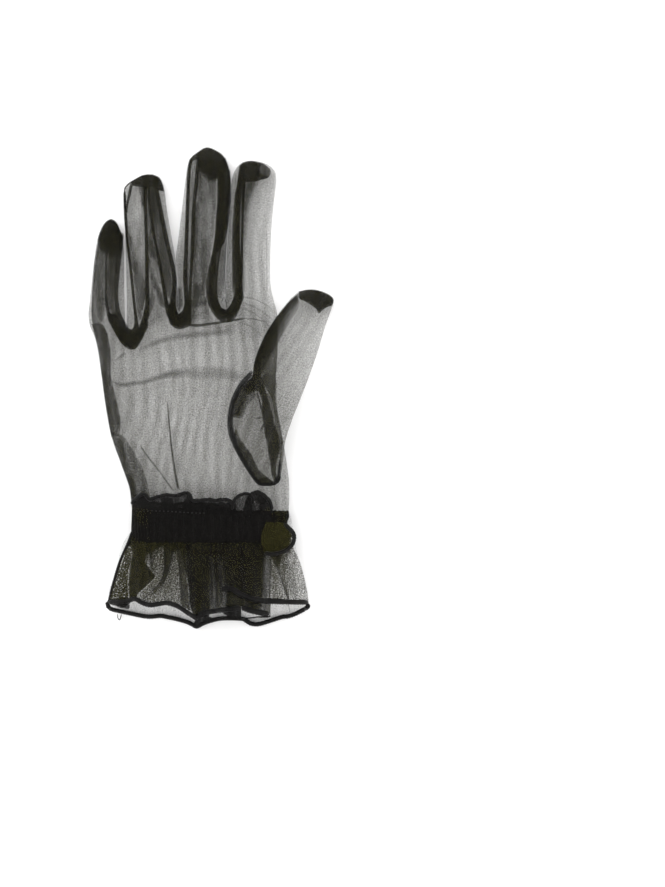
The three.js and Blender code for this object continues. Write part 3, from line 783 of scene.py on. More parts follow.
def fork_loop(seam, face):
    """One face of a forked strip: its seam, and the facing sides of the two fingers."""
    left, right = seam["sides"]
    up_left = between(left, seam[face][0], False)
    down_right = between(right, seam[face][-1], True)
    return [row[:2] for row in seam[face] + down_right[:0:-1] + up_left[::-1]]


def hand_layers(x, y):
    """The net is stretched thinner over the fingers, between the creases and at the heel."""
    fingers = 0.14 * ease(12, 40, y) + 0.07 * ease(10, 14, x) * ease(38, 50, y)
    between_creases = 0.08 * math.exp(-(((y - 15) / 5) ** 2))
    heel = 0.08 * math.exp(-(((x - 2) / 12) ** 2) - ((y + 40) / 9) ** 2)
    return 1 - (fingers + (between_creases + heel))


palm = new_cloth()
panel(palm, [hand_loop("front"), THUMB_HOLE], hand_top, hand_layers)
finish_piece("palm_net", palm, PALM_NET, ["trank_palm"])

back = new_cloth()
panel(back, [hand_loop("back")], hand_bottom, hand_layers, turn=0.06, down=True)
finish_piece("back_net", back, PALM_NET, ["trank_back"])

for name, seam in SEAMS.items():
    fork = new_cloth()
    panel(fork, [fork_loop(seam, "front")], hand_top)
    panel(fork, [fork_loop(seam, "back")], hand_bottom, turn=0.04, down=True)
    finish_piece("side_net_" + name, fork, SIDE_NET, ["fourchette_" + name])

allowances = new_cloth()
for seam in SEAMS.values():
    for face, height, layers, lift in (("front", hand_top, 7.0, -0.25), ("back", hand_bottom, 4.0, 0.25)):
        strip(allowances, on_cloth(seam[face], height, layers, lift))
finish_piece("seam_allowances", allowances, DOUBLED)

# Seam edges and doubled cloth that show dark through the hand, and a few patches of painted shade laid as
# extra
# layers: layers, then outlines in pixels with the softness of each edge.
HAND_DOUBLINGS_AND_PAINTED_SHADE = [
    # the little finger: its two sides, its tip and its crotch
    (3.0, [
        (94.2, 262, 0), (98.4, 240, 0), (102.6, 229, 0), (107.4, 222.4, 0), (111.4, 220.4, 0), (110, 232),
        (106, 262), (105.6, 290, 2), (106.6, 306, 3), (103, 322, 4), (97, 328, 4), (92, 321, 2),
        (91.6, 305, 0), (92.4, 285, 0),
    ]),
    (4.2, [
        (111, 221, 0), (115.6, 223.4, 0), (119.6, 231, 0), (120, 243), (118.4, 256), (116, 276), (115, 292),
        (115.6, 304), (118, 317), (113, 319, 2), (107.6, 306, 2), (106.4, 285), (106.6, 262), (108, 240),
    ]),
    (7.5, [
        (96.6, 250, 14), (97.9, 239.2, 0), (102, 227.8, 0), (106.9, 221.3, 0), (111.4, 219.2, 0),
        (115.9, 222.3, 0), (119.8, 230, 0), (122.5, 239.2, 0), (122.8, 254, 14), (110, 264, 16),
    ]),
    (2.6, [
        (91.8, 321, 0), (91.6, 300, 0), (93.8, 278, 0), (96, 258, 0), (99, 240, 0), (101.6, 240, 2),
        (98.6, 258, 2), (96.2, 278, 2), (94.6, 300, 2), (95.4, 321, 2), (99.8, 338, 2), (97.2, 338, 0),
    ]),
    (7.0, [
        (106, 312, 3), (107.6, 320, 1.6), (114.6, 333), (122.2, 344.6), (130.7, 350), (137.4, 347.4),
        (143.8, 336.4), (149, 323), (144.6, 318), (140, 327), (136.6, 331.6), (126.7, 332), (121.4, 325),
        (118, 316), (112, 313, 2),
    ]),
    # the ring finger: its root, its fold and its left side
    (3.0, [
        (130, 256, 14), (145, 256, 16), (146, 290, 0), (144, 305, 0), (141.4, 318), (137.6, 327),
        (136.6, 318), (134.8, 298), (132.4, 276, 3),
    ]),
    (0.7, [(140, 188, 4), (145, 188, 0), (145.4, 240, 0), (146, 290, 0), (142, 300, 4), (141.6, 240, 4)]),
    (3.4, [(138, 186, 3), (145.6, 186, 0), (145.8, 206, 4), (143.4, 216, 6), (140.6, 204, 3)]),
    (1.8, [
        (128.8, 234, 0), (134.6, 238, 6), (137, 262, 4), (136.4, 276, 2), (132.6, 270, 0), (130.2, 256, 0),
    ]),
    (4.2, [
        (147.4, 252, 4), (152, 262, 4), (157, 278, 4), (163.4, 294, 4), (167, 308, 4), (161, 308, 4),
        (155.6, 296, 4), (150.4, 282, 3), (148.2, 268, 2),
    ]),
    (0.35, [
        (126, 214, 0), (131, 220, 8), (145, 210, 8), (145.6, 240), (146, 275, 2), (136, 275, 2),
        (132.6, 268, 0), (129, 240, 0),
    ]),
    (0.7, [(127, 226, 0), (132, 228, 6), (134.6, 262, 3), (133, 275, 2), (130, 258, 0)]),
    # the strip between the middle and index fingers
    (1.3, [
        (225.4, 243, 1), (225, 262), (224.4, 285), (222, 300, 2), (217, 296, 0), (216, 284, 0), (218, 260, 0),
        (221, 246, 0),
    ]),
    (0.6, [
        (226, 215, 2), (233, 196, 2), (233, 240, 0), (233, 296, 0), (229, 308, 2), (225, 300), (225.6, 262),
    ]),
    # the ring finger's right side, the strip beside it and its tip
    (2.2, [
        (149.6, 272, 3), (154.6, 288, 2), (155.4, 299), (151.4, 313), (145.6, 326), (147.6, 304), (149, 287),
    ]),
    (3.4, [
        (147.4, 188, 0), (157, 190), (160.2, 207), (163.4, 224), (168.6, 249), (173, 270), (173.6, 286),
        (171, 300, 3), (164, 296, 5), (160, 275, 4), (154, 262, 5), (148.4, 256, 5), (148, 224, 0),
    ]),
    (1.7, [(147.4, 190, 0), (157, 192), (160.2, 207), (163.4, 224, 8), (149, 236, 12)]),
    (1.6, [
        (148.4, 236, 0), (154, 242, 3), (160, 262, 3), (163.6, 284, 3), (158, 286, 3), (152, 268, 3),
        (148.6, 262),
    ]),
    (2.6, [(175.6, 286, 4), (183, 286, 4), (182.8, 306, 1), (178.6, 313), (175.6, 304)]),
    (9.0, [
        (131, 181.8, 0), (135.2, 179.2, 0), (141.6, 175.8, 0), (147.5, 174.5, 0), (153.8, 175.2, 0),
        (159, 178, 0), (162.3, 184, 0), (164.2, 191.6, 0.4), (155.2, 190), (146.4, 188), (137, 186.8),
        (131.8, 186),
    ]),
    # the middle finger: its seam allowances, its body, its root and its tip
    (1.5, [(187.8, 238, 4), (192, 238, 4), (191, 270, 1), (190, 290, 2), (186.6, 288, 0), (185.6, 262, 1)]),
    (1.3, [
        (190.4, 160, 0), (198, 156, 0), (196, 176, 0), (193.8, 198, 0), (192.6, 220, 0), (191, 262, 0),
        (190, 285), (188.6, 300), (186.8, 288, 0), (186, 262, 0), (186.4, 220, 0), (188, 185, 0),
    ]),
    (1.1, [
        (198.6, 160), (216, 160), (216.6, 200), (214, 235, 3), (209, 262, 3), (207, 284, 3), (200, 304, 8),
        (191, 306, 5), (191.6, 285), (192.4, 262), (194, 220), (197, 178),
    ]),
    (2.8, [(197.4, 196, 4), (204, 192, 8), (204, 210, 8), (201, 250, 8), (192.4, 262, 0), (194.6, 210, 0)]),
    (1.4, [(198.6, 160, 0), (206, 160, 8), (204, 196, 8), (195.6, 200, 2), (196.6, 180, 0)]),
    (0.5, [(198, 160, 0), (217, 160, 0), (217, 190, 3), (214, 204, 16), (205, 206, 16), (197, 196, 4)]),
    (1.3, [
        (196, 232, 18), (214, 232, 18), (211, 256, 2), (208, 282, 2), (204, 302, 8), (192, 300, 6),
        (191.8, 280, 1), (192.8, 262, 1),
    ]),
    (2.4, [(191, 282, 6), (204, 282, 6), (206, 297, 1), (207.4, 304, 2), (200, 309, 5), (190.6, 309, 3)]),
    (0.8, [(190, 300, 3), (206, 300, 3), (212, 312, 4), (201, 322, 8), (190, 320, 3)]),
    (2.4, [(188, 298, 0), (195, 300, 6), (198, 312, 8), (197, 322, 8), (188, 326, 2)]),
    (8.5, [
        (188.4, 164.8, 0), (191.4, 157.6, 0), (198.2, 152.2, 0), (203.2, 148.9, 0), (207, 147.6, 0),
        (213.5, 149.6, 0), (222.4, 155.4, 0), (226.8, 162.6, 0), (229.4, 173, 0), (222, 174, 3),
        (217, 182, 7), (207, 182, 9), (200, 172, 6), (198, 160), (193, 161),
    ]),
    (7.0, [
        (217.2, 160), (217.2, 178), (217, 200), (215.4, 220), (214.6, 235), (213.8, 243), (212.6, 250),
        (210, 260), (208, 270), (206.2, 280), (205.6, 290), (206.4, 299), (210, 309.4), (215.6, 317.4),
        (221.2, 322), (226.6, 323), (226.4, 311.6), (220, 307), (217, 300), (215.6, 290), (215.4, 280),
        (216.2, 270), (217.6, 260), (219.4, 250), (224.8, 243), (226.8, 235), (229.2, 220), (231, 200, 1),
        (231.4, 186, 1), (230, 174, 1), (225, 162, 0),
    ]),
    # the index finger: its left side and its tip
    (7.0, [
        (238.6, 178, 0), (234.4, 196), (232.8, 214), (232, 240), (232, 265), (232.2, 284), (232.8, 296),
        (231, 304), (226.6, 311.6), (226.6, 323), (233.2, 321), (238, 314), (241.6, 304), (244.2, 296, 1),
        (241.6, 288, 2), (240.4, 260, 2), (240.8, 225, 2), (242.8, 196, 2), (244.4, 178, 2),
    ]),
    (1.6, [(242, 181, 1), (260, 180, 1), (255, 196, 8), (250, 212, 10), (242, 212, 4)]),
    (2.2, [
        (241, 181, 1), (256, 180.6, 1), (254, 196, 8), (251.4, 214, 9), (248.4, 240, 7), (246.6, 262, 5),
        (245.4, 284, 3), (244, 296, 2), (239, 292), (239, 250), (240, 210),
    ]),
    (9.0, [
        (239, 182.6), (239.4, 172, 0), (240.6, 164.6, 0), (245.6, 161.8, 0), (251.7, 161.1, 0),
        (258.6, 162.6, 0), (262.6, 164.6, 1.6), (259.6, 168.6, 2), (261.6, 173.4, 2), (267.4, 175.6, 1.6),
        (268.6, 177.4), (265.5, 179), (254.6, 181.8),
    ]),
    (4.2, [
        (256, 162, 0), (261.6, 162.9, 0), (266.8, 166, 0), (270.4, 169.8, 0.6), (270.6, 174.7), (267, 178),
        (256, 176),
    ]),
    # the crotch between the ring and middle fingers
    (7.0, [
        (171.4, 300), (168.2, 306), (168, 315), (170, 324.4), (178.4, 329.4), (186.2, 328), (191, 324),
        (191.2, 313), (190.6, 301), (186, 298), (182.8, 309.4), (178.6, 313.4), (176.2, 307), (175.2, 298),
    ]),
    # the outer seam down the palm's left side
    (4.8, [
        (95.6, 338, 0), (98.6, 352, 0), (100.4, 366, 0), (102, 378, 0), (104.4, 396, 0), (107, 412.4, 0),
        (111.4, 437, 0), (119.6, 437, 3), (121, 422, 2), (118.6, 408, 2), (115.8, 396), (113, 384),
        (111, 374.4), (111, 352), (109.4, 340), (106.4, 330), (101, 322, 4), (91.6, 324, 0),
    ]),
    (1.6, [
        (100.4, 366, 0), (102, 378, 0), (104.4, 396, 0), (107, 412.4, 0), (110.4, 430, 0), (115, 425, 3),
        (113, 408, 3), (111, 392, 3), (110, 376, 4),
    ]),
    (2.6, [
        (110.6, 431, 0), (115.8, 449, 0), (120.6, 462, 0), (126.4, 478, 0), (130, 490, 0), (131.4, 502, 0),
        (150, 502), (149.6, 494), (147.4, 482), (144, 470), (138.6, 459.2), (130.8, 446), (124, 436, 2),
    ]),
    (3.0, [
        (111.8, 436, 0), (116, 449, 0), (120.8, 462, 0), (126.6, 478, 0), (130.2, 490, 0), (131.6, 502, 0),
        (138.6, 500, 2), (136.6, 484, 3), (131.4, 468, 3), (127, 452, 4), (120, 438, 3),
    ]),
    (3.0, [
        (125, 473, 0), (126.8, 478, 0), (130.4, 490, 0), (131.8, 502, 0), (137, 502, 2), (135.6, 488, 3),
        (132, 476, 3),
    ]),
    # under the thumb
    (1.8, [
        (269, 329, 0), (276, 318, 0), (277, 342, 0), (276.6, 360, 0), (275, 385, 0), (275, 403, 0),
        (278, 417, 0), (280.6, 430, 0), (282.4, 442, 0), (281, 466, 0), (276.6, 440, 0), (272.6, 402, 0),
        (262, 380, 0), (256, 370, 0), (257, 358.6, 0), (262, 344, 0),
    ]),
    # painted shade, laid as extra layers, over the heading and beside the outer seam; and the slack at the
    # fingers' roots
    (0.4, [(172, 478, 14), (214, 482, 14), (240, 488, 8), (240, 500, 0), (176, 500, 0)]),
    (0.7, [(133, 486, 6), (150, 488, 6), (172, 492, 6), (172, 500, 0), (133, 500, 0)]),
    (0.5, [(122, 434, 4), (130, 436, 6), (146, 456, 6), (156, 474, 6), (146, 476, 6), (136, 458, 6)]),
    (0.4, [(238, 300, 8), (262, 304, 8), (272, 330, 8), (256, 344, 8), (238, 336, 8)]),
    (1.0, [
        (146, 300, 4), (152, 290, 3), (158, 296, 3), (163, 308, 5), (166, 322, 8), (146, 334, 8),
        (144, 322, 2),
    ]),
    (0.7, [
        (206, 296, 3), (210, 312, 3), (222, 324, 5), (236, 322, 5), (240, 334, 10), (214, 334, 10),
        (196, 322, 8),
    ]),
]
CREASE_WIDTH = 3.5  # pixels above which a strip is a soft crease, and fades further in
# Strips of seam allowance and creases: layers, then x, y and width in pixels.
HAND_STRIPS = [
    # the ring finger's left edge
    (4.0, [(124.6, 198, 1.4), (124.9, 188.8, 1.8), (128.8, 183.8, 2), (135, 180, 1.6)]),
    (7.0, [(131.8, 183, 3.4), (129.4, 194, 3.4), (127, 206, 2.6), (126.6, 214, 2)]),
    (6.0, [(124.8, 190, 1.6), (125.2, 200, 2.2), (126, 214, 2.6), (127.4, 236, 2.6), (129, 256, 2)]),
    # creases at the fingers' roots and across the palm
    (5.0, [(187, 324.6, 3.4), (198, 325.4, 3.4), (208, 324.2, 3.2), (224, 321.8, 2.8), (245, 318.4, 2)]),
    (1.6, [(243, 318.6, 1.6), (254, 319.2, 1.6), (266, 322, 1.4)]),
    (1.7, [
        (138, 351, 6), (146, 347, 6), (160, 341, 7), (176, 337, 8), (196, 334.4, 8), (216, 333, 8),
        (236, 332, 6),
    ]),
    (0.8, [(115, 361, 3), (120, 357, 4), (126, 352.6, 3)]),
    (2.2, [
        (108, 379, 5), (120, 384.6, 6), (133.5, 383.4, 6), (146, 381.4, 6), (156, 378, 7), (170, 374, 9),
        (184, 372.6, 12),
    ]),
    (1.2, [(160, 376, 7), (184, 373, 12), (204, 373, 15), (226, 374, 14), (250, 380, 10)]),
    # gathers that run up from the band
    (4.0, [(167.4, 401.3, 1.2), (169.3, 424.2, 1.6), (172, 451, 2.2), (174.9, 471.3, 2.6), (178.4, 490, 3)]),
    (2.2, [(140, 445, 1.4), (145.6, 453.8, 2.2), (160.4, 472.7, 2), (173.2, 490.8, 2)]),
    (0.5, [(170, 420, 8), (175, 450, 10), (182, 486, 12)]),
    # small wrinkles at the index finger's root, and the edges beside it
    (0.6, [(240, 302, 1.6), (252, 306, 2), (264, 313, 2), (274, 321, 1.6)]),
    (0.6, [(242, 297, 1.6), (254, 299, 2), (266, 305, 2), (275, 312, 1.6)]),
    (0.6, [(240, 308, 1.6), (250, 311, 2), (262, 319, 2), (271, 328, 1.6)]),
    (0.5, [(238, 322, 2), (250, 326, 2.4), (262, 336, 2.4)]),
    (0.7, [(266.6, 230, 1.6), (266.8, 260, 1.8), (267.2, 292, 1.6)]),
    (1.6, [(225.9, 240, 1.6), (225, 262, 1.8), (224.6, 285, 1.8), (224.2, 296, 1.8)]),
    (1.6, [(224.2, 296, 1.6), (222, 301, 1.6), (220.4, 304, 1.6)]),
    (1.8, [(224.2, 296, 1.6), (225.8, 302, 1.8), (227.2, 309, 1.8)]),
]

# The hand's doublings, among them the patches of painted shade over the heading and beside the outer seam.
doublings_and_painted_shade = new_cloth()
for layers, points in HAND_DOUBLINGS_AND_PAINTED_SHADE:
    doubling(doublings_and_painted_shade, hand_top, layers, points)
for layers, points in HAND_STRIPS:
    wide = points[0][2] > CREASE_WIDTH
    rows = on_cloth(line(points), hand_top, layers, -0.5)
    strip(doublings_and_painted_shade, rows, soft=1.0 if wide else 0.6, taper=8.0 if wide else 2.0)
finish_piece("hand_doublings", doublings_and_painted_shade, DOUBLED)

# Thumb.

THUMB_OUTLINE = line([
    (298.6, 291.2), (290, 299.3), (277.5, 315), (266.3, 331.9), (258.4, 349), (254.4, 361), (253.2, 369.8),
    (252.4, 377), (242.5, 387.4), (233.4, 402), (229.4, 418), (230.6, 432), (237.4, 453), (247.6, 470),
    (256, 480.6), (263.6, 485.8), (273.3, 485), (280.2, 476.5), (283, 460), (285.4, 441), (292, 420),
    (300, 400), (308.8, 377), (317.2, 353), (325, 327), (332.8, 304.8), (333.6, 298.3), (327, 293.2),
    (314.9, 289.5), (306, 289.6), (298.6, 291.2),
])[:-1]
THUMB_DOUBLINGS = [
    # the tip
    (9.0, [
        (298.9, 291.6, 0), (306, 290.1, 0), (315, 290, 0), (326.6, 293.8, 0), (333, 298.8, 0),
        (332.4, 304.8, 0), (325.4, 308.2), (318.6, 314.4), (315.4, 308.6), (304.2, 301.4, 2),
        (298.6, 298.6, 2),
    ]),
    # the seam down its left side
    (4.6, [
        (298.4, 293.2, 0), (290.4, 300.4, 0), (277.9, 315.4, 0), (266.8, 332.2, 0), (258.9, 349.3, 0),
        (254.9, 361.2, 0), (253.2, 369.8, 0), (252, 380), (259, 378, 1), (268, 362, 3), (280.4, 341, 4),
        (291.4, 322, 6), (299, 307, 6),
    ]),
    (4.2, [
        (298.4, 293.2, 0), (290.4, 300.4, 0), (277.9, 315.4, 0), (266.8, 332.2, 0), (258.9, 349.3, 0),
        (254.9, 361.2, 0), (253.7, 369.8, 0), (259, 375), (263, 361, 2), (270.6, 343, 3), (279.6, 327, 4),
        (289, 313, 5), (299, 302, 4),
    ]),
    # the strap of seam edges across the hole
    (6.0, [
        (249.6, 377.4), (254, 374, 0), (261, 376), (266.6, 393), (270.7, 405.7), (273.7, 417), (275.8, 426),
        (279.3, 436), (280.3, 446.3), (278.4, 458.5, 2), (276.4, 470, 2), (277.6, 476, 1), (280.4, 478, 0),
        (279, 482, 0), (274.7, 484.6, 0), (271.7, 476.8), (270.2, 466.6), (267.8, 451.4), (265.2, 437.2),
        (263, 425), (261.8, 412.8), (261.8, 404), (260, 396), (257.6, 391.6), (247, 391.6), (243, 389),
    ]),
    (1.0, [
        (261, 376), (270, 372, 2), (276, 378, 0), (276.3, 405, 0), (279.8, 421, 0), (282, 432, 0),
        (283.6, 444, 0), (280.4, 452, 0), (279, 438), (274.7, 421), (270.7, 407.7), (266.6, 394.5),
    ]),
    # the hole's upper left and lower left seam edges
    (5.6, [
        (253, 377.4, 0), (243.4, 383.4, 0), (237, 391.6, 0), (232.6, 402, 0), (231, 412.8, 0), (231.4, 418),
        (238.4, 417), (241.8, 407.7), (245.3, 400.6), (248.4, 395.4), (256, 392.4),
    ]),
    (2.6, [
        (250, 393), (257, 392.4), (254.6, 398), (248, 405.7), (242.4, 417.6), (236, 418.4), (239, 406),
        (244, 398),
    ]),
    (5.2, [
        (235, 424), (240, 436, 4), (245.4, 445, 3), (251.8, 454), (255.5, 462.5), (259.5, 469.6),
        (265.6, 475.7), (272.7, 480.8), (274, 484.6, 0), (260, 484.8, 0), (249.9, 472.4, 0), (239, 454.4, 0),
        (234, 441, 0),
    ]),
    (2.0, [(255, 476, 2), (268, 478), (273, 481), (274, 484.6, 0), (260, 484.8, 0), (254, 478, 0)]),
]
THUMB_STRIPS = [
    (3.0, [(256.5, 391, 2), (260, 402.6, 2.2), (262.4, 412.8, 2.4)]),
    (2.6, [(255, 418.4, 2), (259, 418, 2.6), (263, 417, 2.6)]),
    (2.4, [(264.4, 422, 2), (262.4, 427, 2.6), (260, 432, 2)]),
]
THUMB_RING = line([
    (252.4, 371, 3), (249, 375.6, 5), (242.4, 383, 5.4), (236.8, 391.6, 5), (232.6, 402, 5.2),
    (230.6, 412.8, 6.2), (230.2, 423, 6.8), (231.8, 435, 6.6), (235.6, 446, 5.2), (240.6, 456, 5),
    (246.4, 466, 4.6), (251.6, 474, 4.4), (257, 481.4, 4.2), (261, 484, 4), (267.6, 484.4, 3.6),
    (274, 483.4, 4.4), (278.2, 479.4, 5), (279.2, 471.7, 3), (280, 460, 2.6),
])


def thumb_layers(x, y):
    """The thumb's net is thinner over its hole and towards its tip, and fuller at its root."""
    over_hole = math.exp(-(((x - 20) / 6) ** 2) - ((y + 21) / 14) ** 2)
    return 1 - 0.2 * over_hole + 0.3 * (1 - ease(-16, 8, y)) * ease(30, 37, x) - 0.1 * ease(6, 30, y)


THUMB_TURN = 0.5  # the thumb's net lies turned from the palm's
thumb = new_cloth()
panel(thumb, [THUMB_OUTLINE], thumb_top, thumb_layers, turn=THUMB_TURN)
panel(thumb, [THUMB_OUTLINE], thumb_bottom, thumb_layers, turn=THUMB_TURN + 0.06, down=True)
finish_piece("thumb_net", thumb, THUMB_NET, ["thumb"])

thumb_seams = new_cloth()
for layers, points in THUMB_DOUBLINGS:
    doubling(thumb_seams, thumb_top, layers, points, -0.2, turn=THUMB_TURN)
for layers, points in THUMB_STRIPS:
    strip(thumb_seams, on_cloth(line(points), thumb_top, layers, -0.3), soft=0.6)
strip(thumb_seams, on_cloth(THUMB_RING, thumb_top, 7.0, 0.15))
finish_piece("thumb_seams", thumb_seams, DOUBLED)

# Cuff: heading, band and ruffle.

LEFT_FOLD = [
    (132.6, 531), (129.4, 540), (125.8, 548.5), (121.2, 559), (118.0, 568.1), (114.6, 580), (111.8, 590),
    (109.8, 598.9), (108.6, 603),
]
OUTER_FOLD = [
    (132.4, 529.6), (127.6, 535.8), (122.6, 544), (119.2, 554), (117.6, 564.6), (114.2, 574.4),
    (111.6, 582.6), (109.2, 590), (108.4, 597), (108.6, 600.6),
]
RIGHT_FOLD = [
    (308.6, 602.4), (307.4, 592), (304.4, 578), (300, 562), (294, 549), (290, 537), (287, 528),
]
HEM_LEFT = [
    (108, 602.4), (112, 602), (120, 601.8), (128, 600.8), (134.6, 598.8), (140.6, 601.8), (145.5, 604),
    (151.3, 605), (158.7, 603.9), (166, 602.9), (171.8, 604), (177, 605.9), (182.8, 609.2), (188, 613),
    (192.4, 615.6), (198, 619.6),
]
HEM_MIDDLE = [
    (198, 619.6), (200.4, 614.6), (204.4, 613), (211, 611.6), (219, 610.4), (227, 609.4), (235, 608.8),
    (241.4, 607), (250.6, 610.4), (260.5, 612.6), (269.4, 614.6),
]
HEM_TUCK = [(269.4, 614.6), (270.2, 616.4), (266.6, 617), (258, 617), (249.5, 618), (241.3, 618.4)]
HEM_RIGHT = [
    (222.4, 591.6), (223.4, 589.2), (227, 588), (231.7, 588.4), (240, 593.7), (250.9, 598.5), (261.9, 600.6),
    (271.5, 601), (285.2, 601.7), (297, 602.1), (305, 602.2), (308.6, 603.8),
]
LOWER_HEM = [
    (108.6, 600.6), (107.8, 603.4), (108.4, 606.4), (111, 608.8), (121.4, 611.4), (133.1, 613.9),
    (144.2, 616.1), (150.8, 616.6), (160.6, 615.8), (167.8, 617), (176.9, 619), (186.8, 621.8),
    (192.4, 624.4), (196.6, 626.4), (203, 623.4), (211, 620.6), (219, 618.7), (227, 618.2), (237.2, 618.4),
    (243.4, 619), (247, 621.2), (251.4, 623.6), (256.4, 624.2), (261.4, 623.4), (268.7, 621.2),
    (282.4, 616.8), (288, 616.2), (295, 613.8), (303, 609.8), (307.8, 606.4), (308.2, 603),
]


def plain_loop(*lines):
    """One outline from several lines that follow one another."""
    return [row[:2] for part in lines for row in line(part)[:-1]]


UPPER_SKIRT = plain_loop(
    LEFT_FOLD, [(108.6, 603), (108, 602.4)], HEM_LEFT, HEM_MIDDLE, [(269.4, 614.6), (271.5, 601)],
    HEM_RIGHT[7:], [(308.6, 603.8), (308.6, 602.4)], RIGHT_FOLD, [(287, 528), (132.6, 528)],
    [(132.6, 528), (132.6, 531)],
)
LOWER_SKIRT = plain_loop(
    OUTER_FOLD, LOWER_HEM, RIGHT_FOLD[:4],
    [(300, 562), (296.4, 550), (294.4, 538), (293, 528), (291.4, 519), (288.6, 511)],
    [(288.6, 511), (286, 528), (132.4, 529.6)],
)
LOWER_LAYERS = 0.44  # the lower side is one net, stretched thin


def upper_layers(x, y):
    """The upper side is gathered most on the left; the middle's pleats are pieces of their own."""
    return 1.9 - 1.0 * ease(-18, -11, x) + 2.0 * ease(27, 31, x) - 0.9 * ease(33, 45, x)


upper = new_cloth()
panel(upper, [UPPER_SKIRT], cuff_top, upper_layers, pitch=CUFF_PITCH)
finish_piece("ruffle_upper", upper, CUFF_NET, ["cuff_ruffle"])

lower = new_cloth()
panel(lower, [LOWER_SKIRT], cuff_bottom, lambda x, y: LOWER_LAYERS, 0.07, CUFF_PITCH, down=True)
finish_piece("ruffle_lower", lower, CUFF_NET)

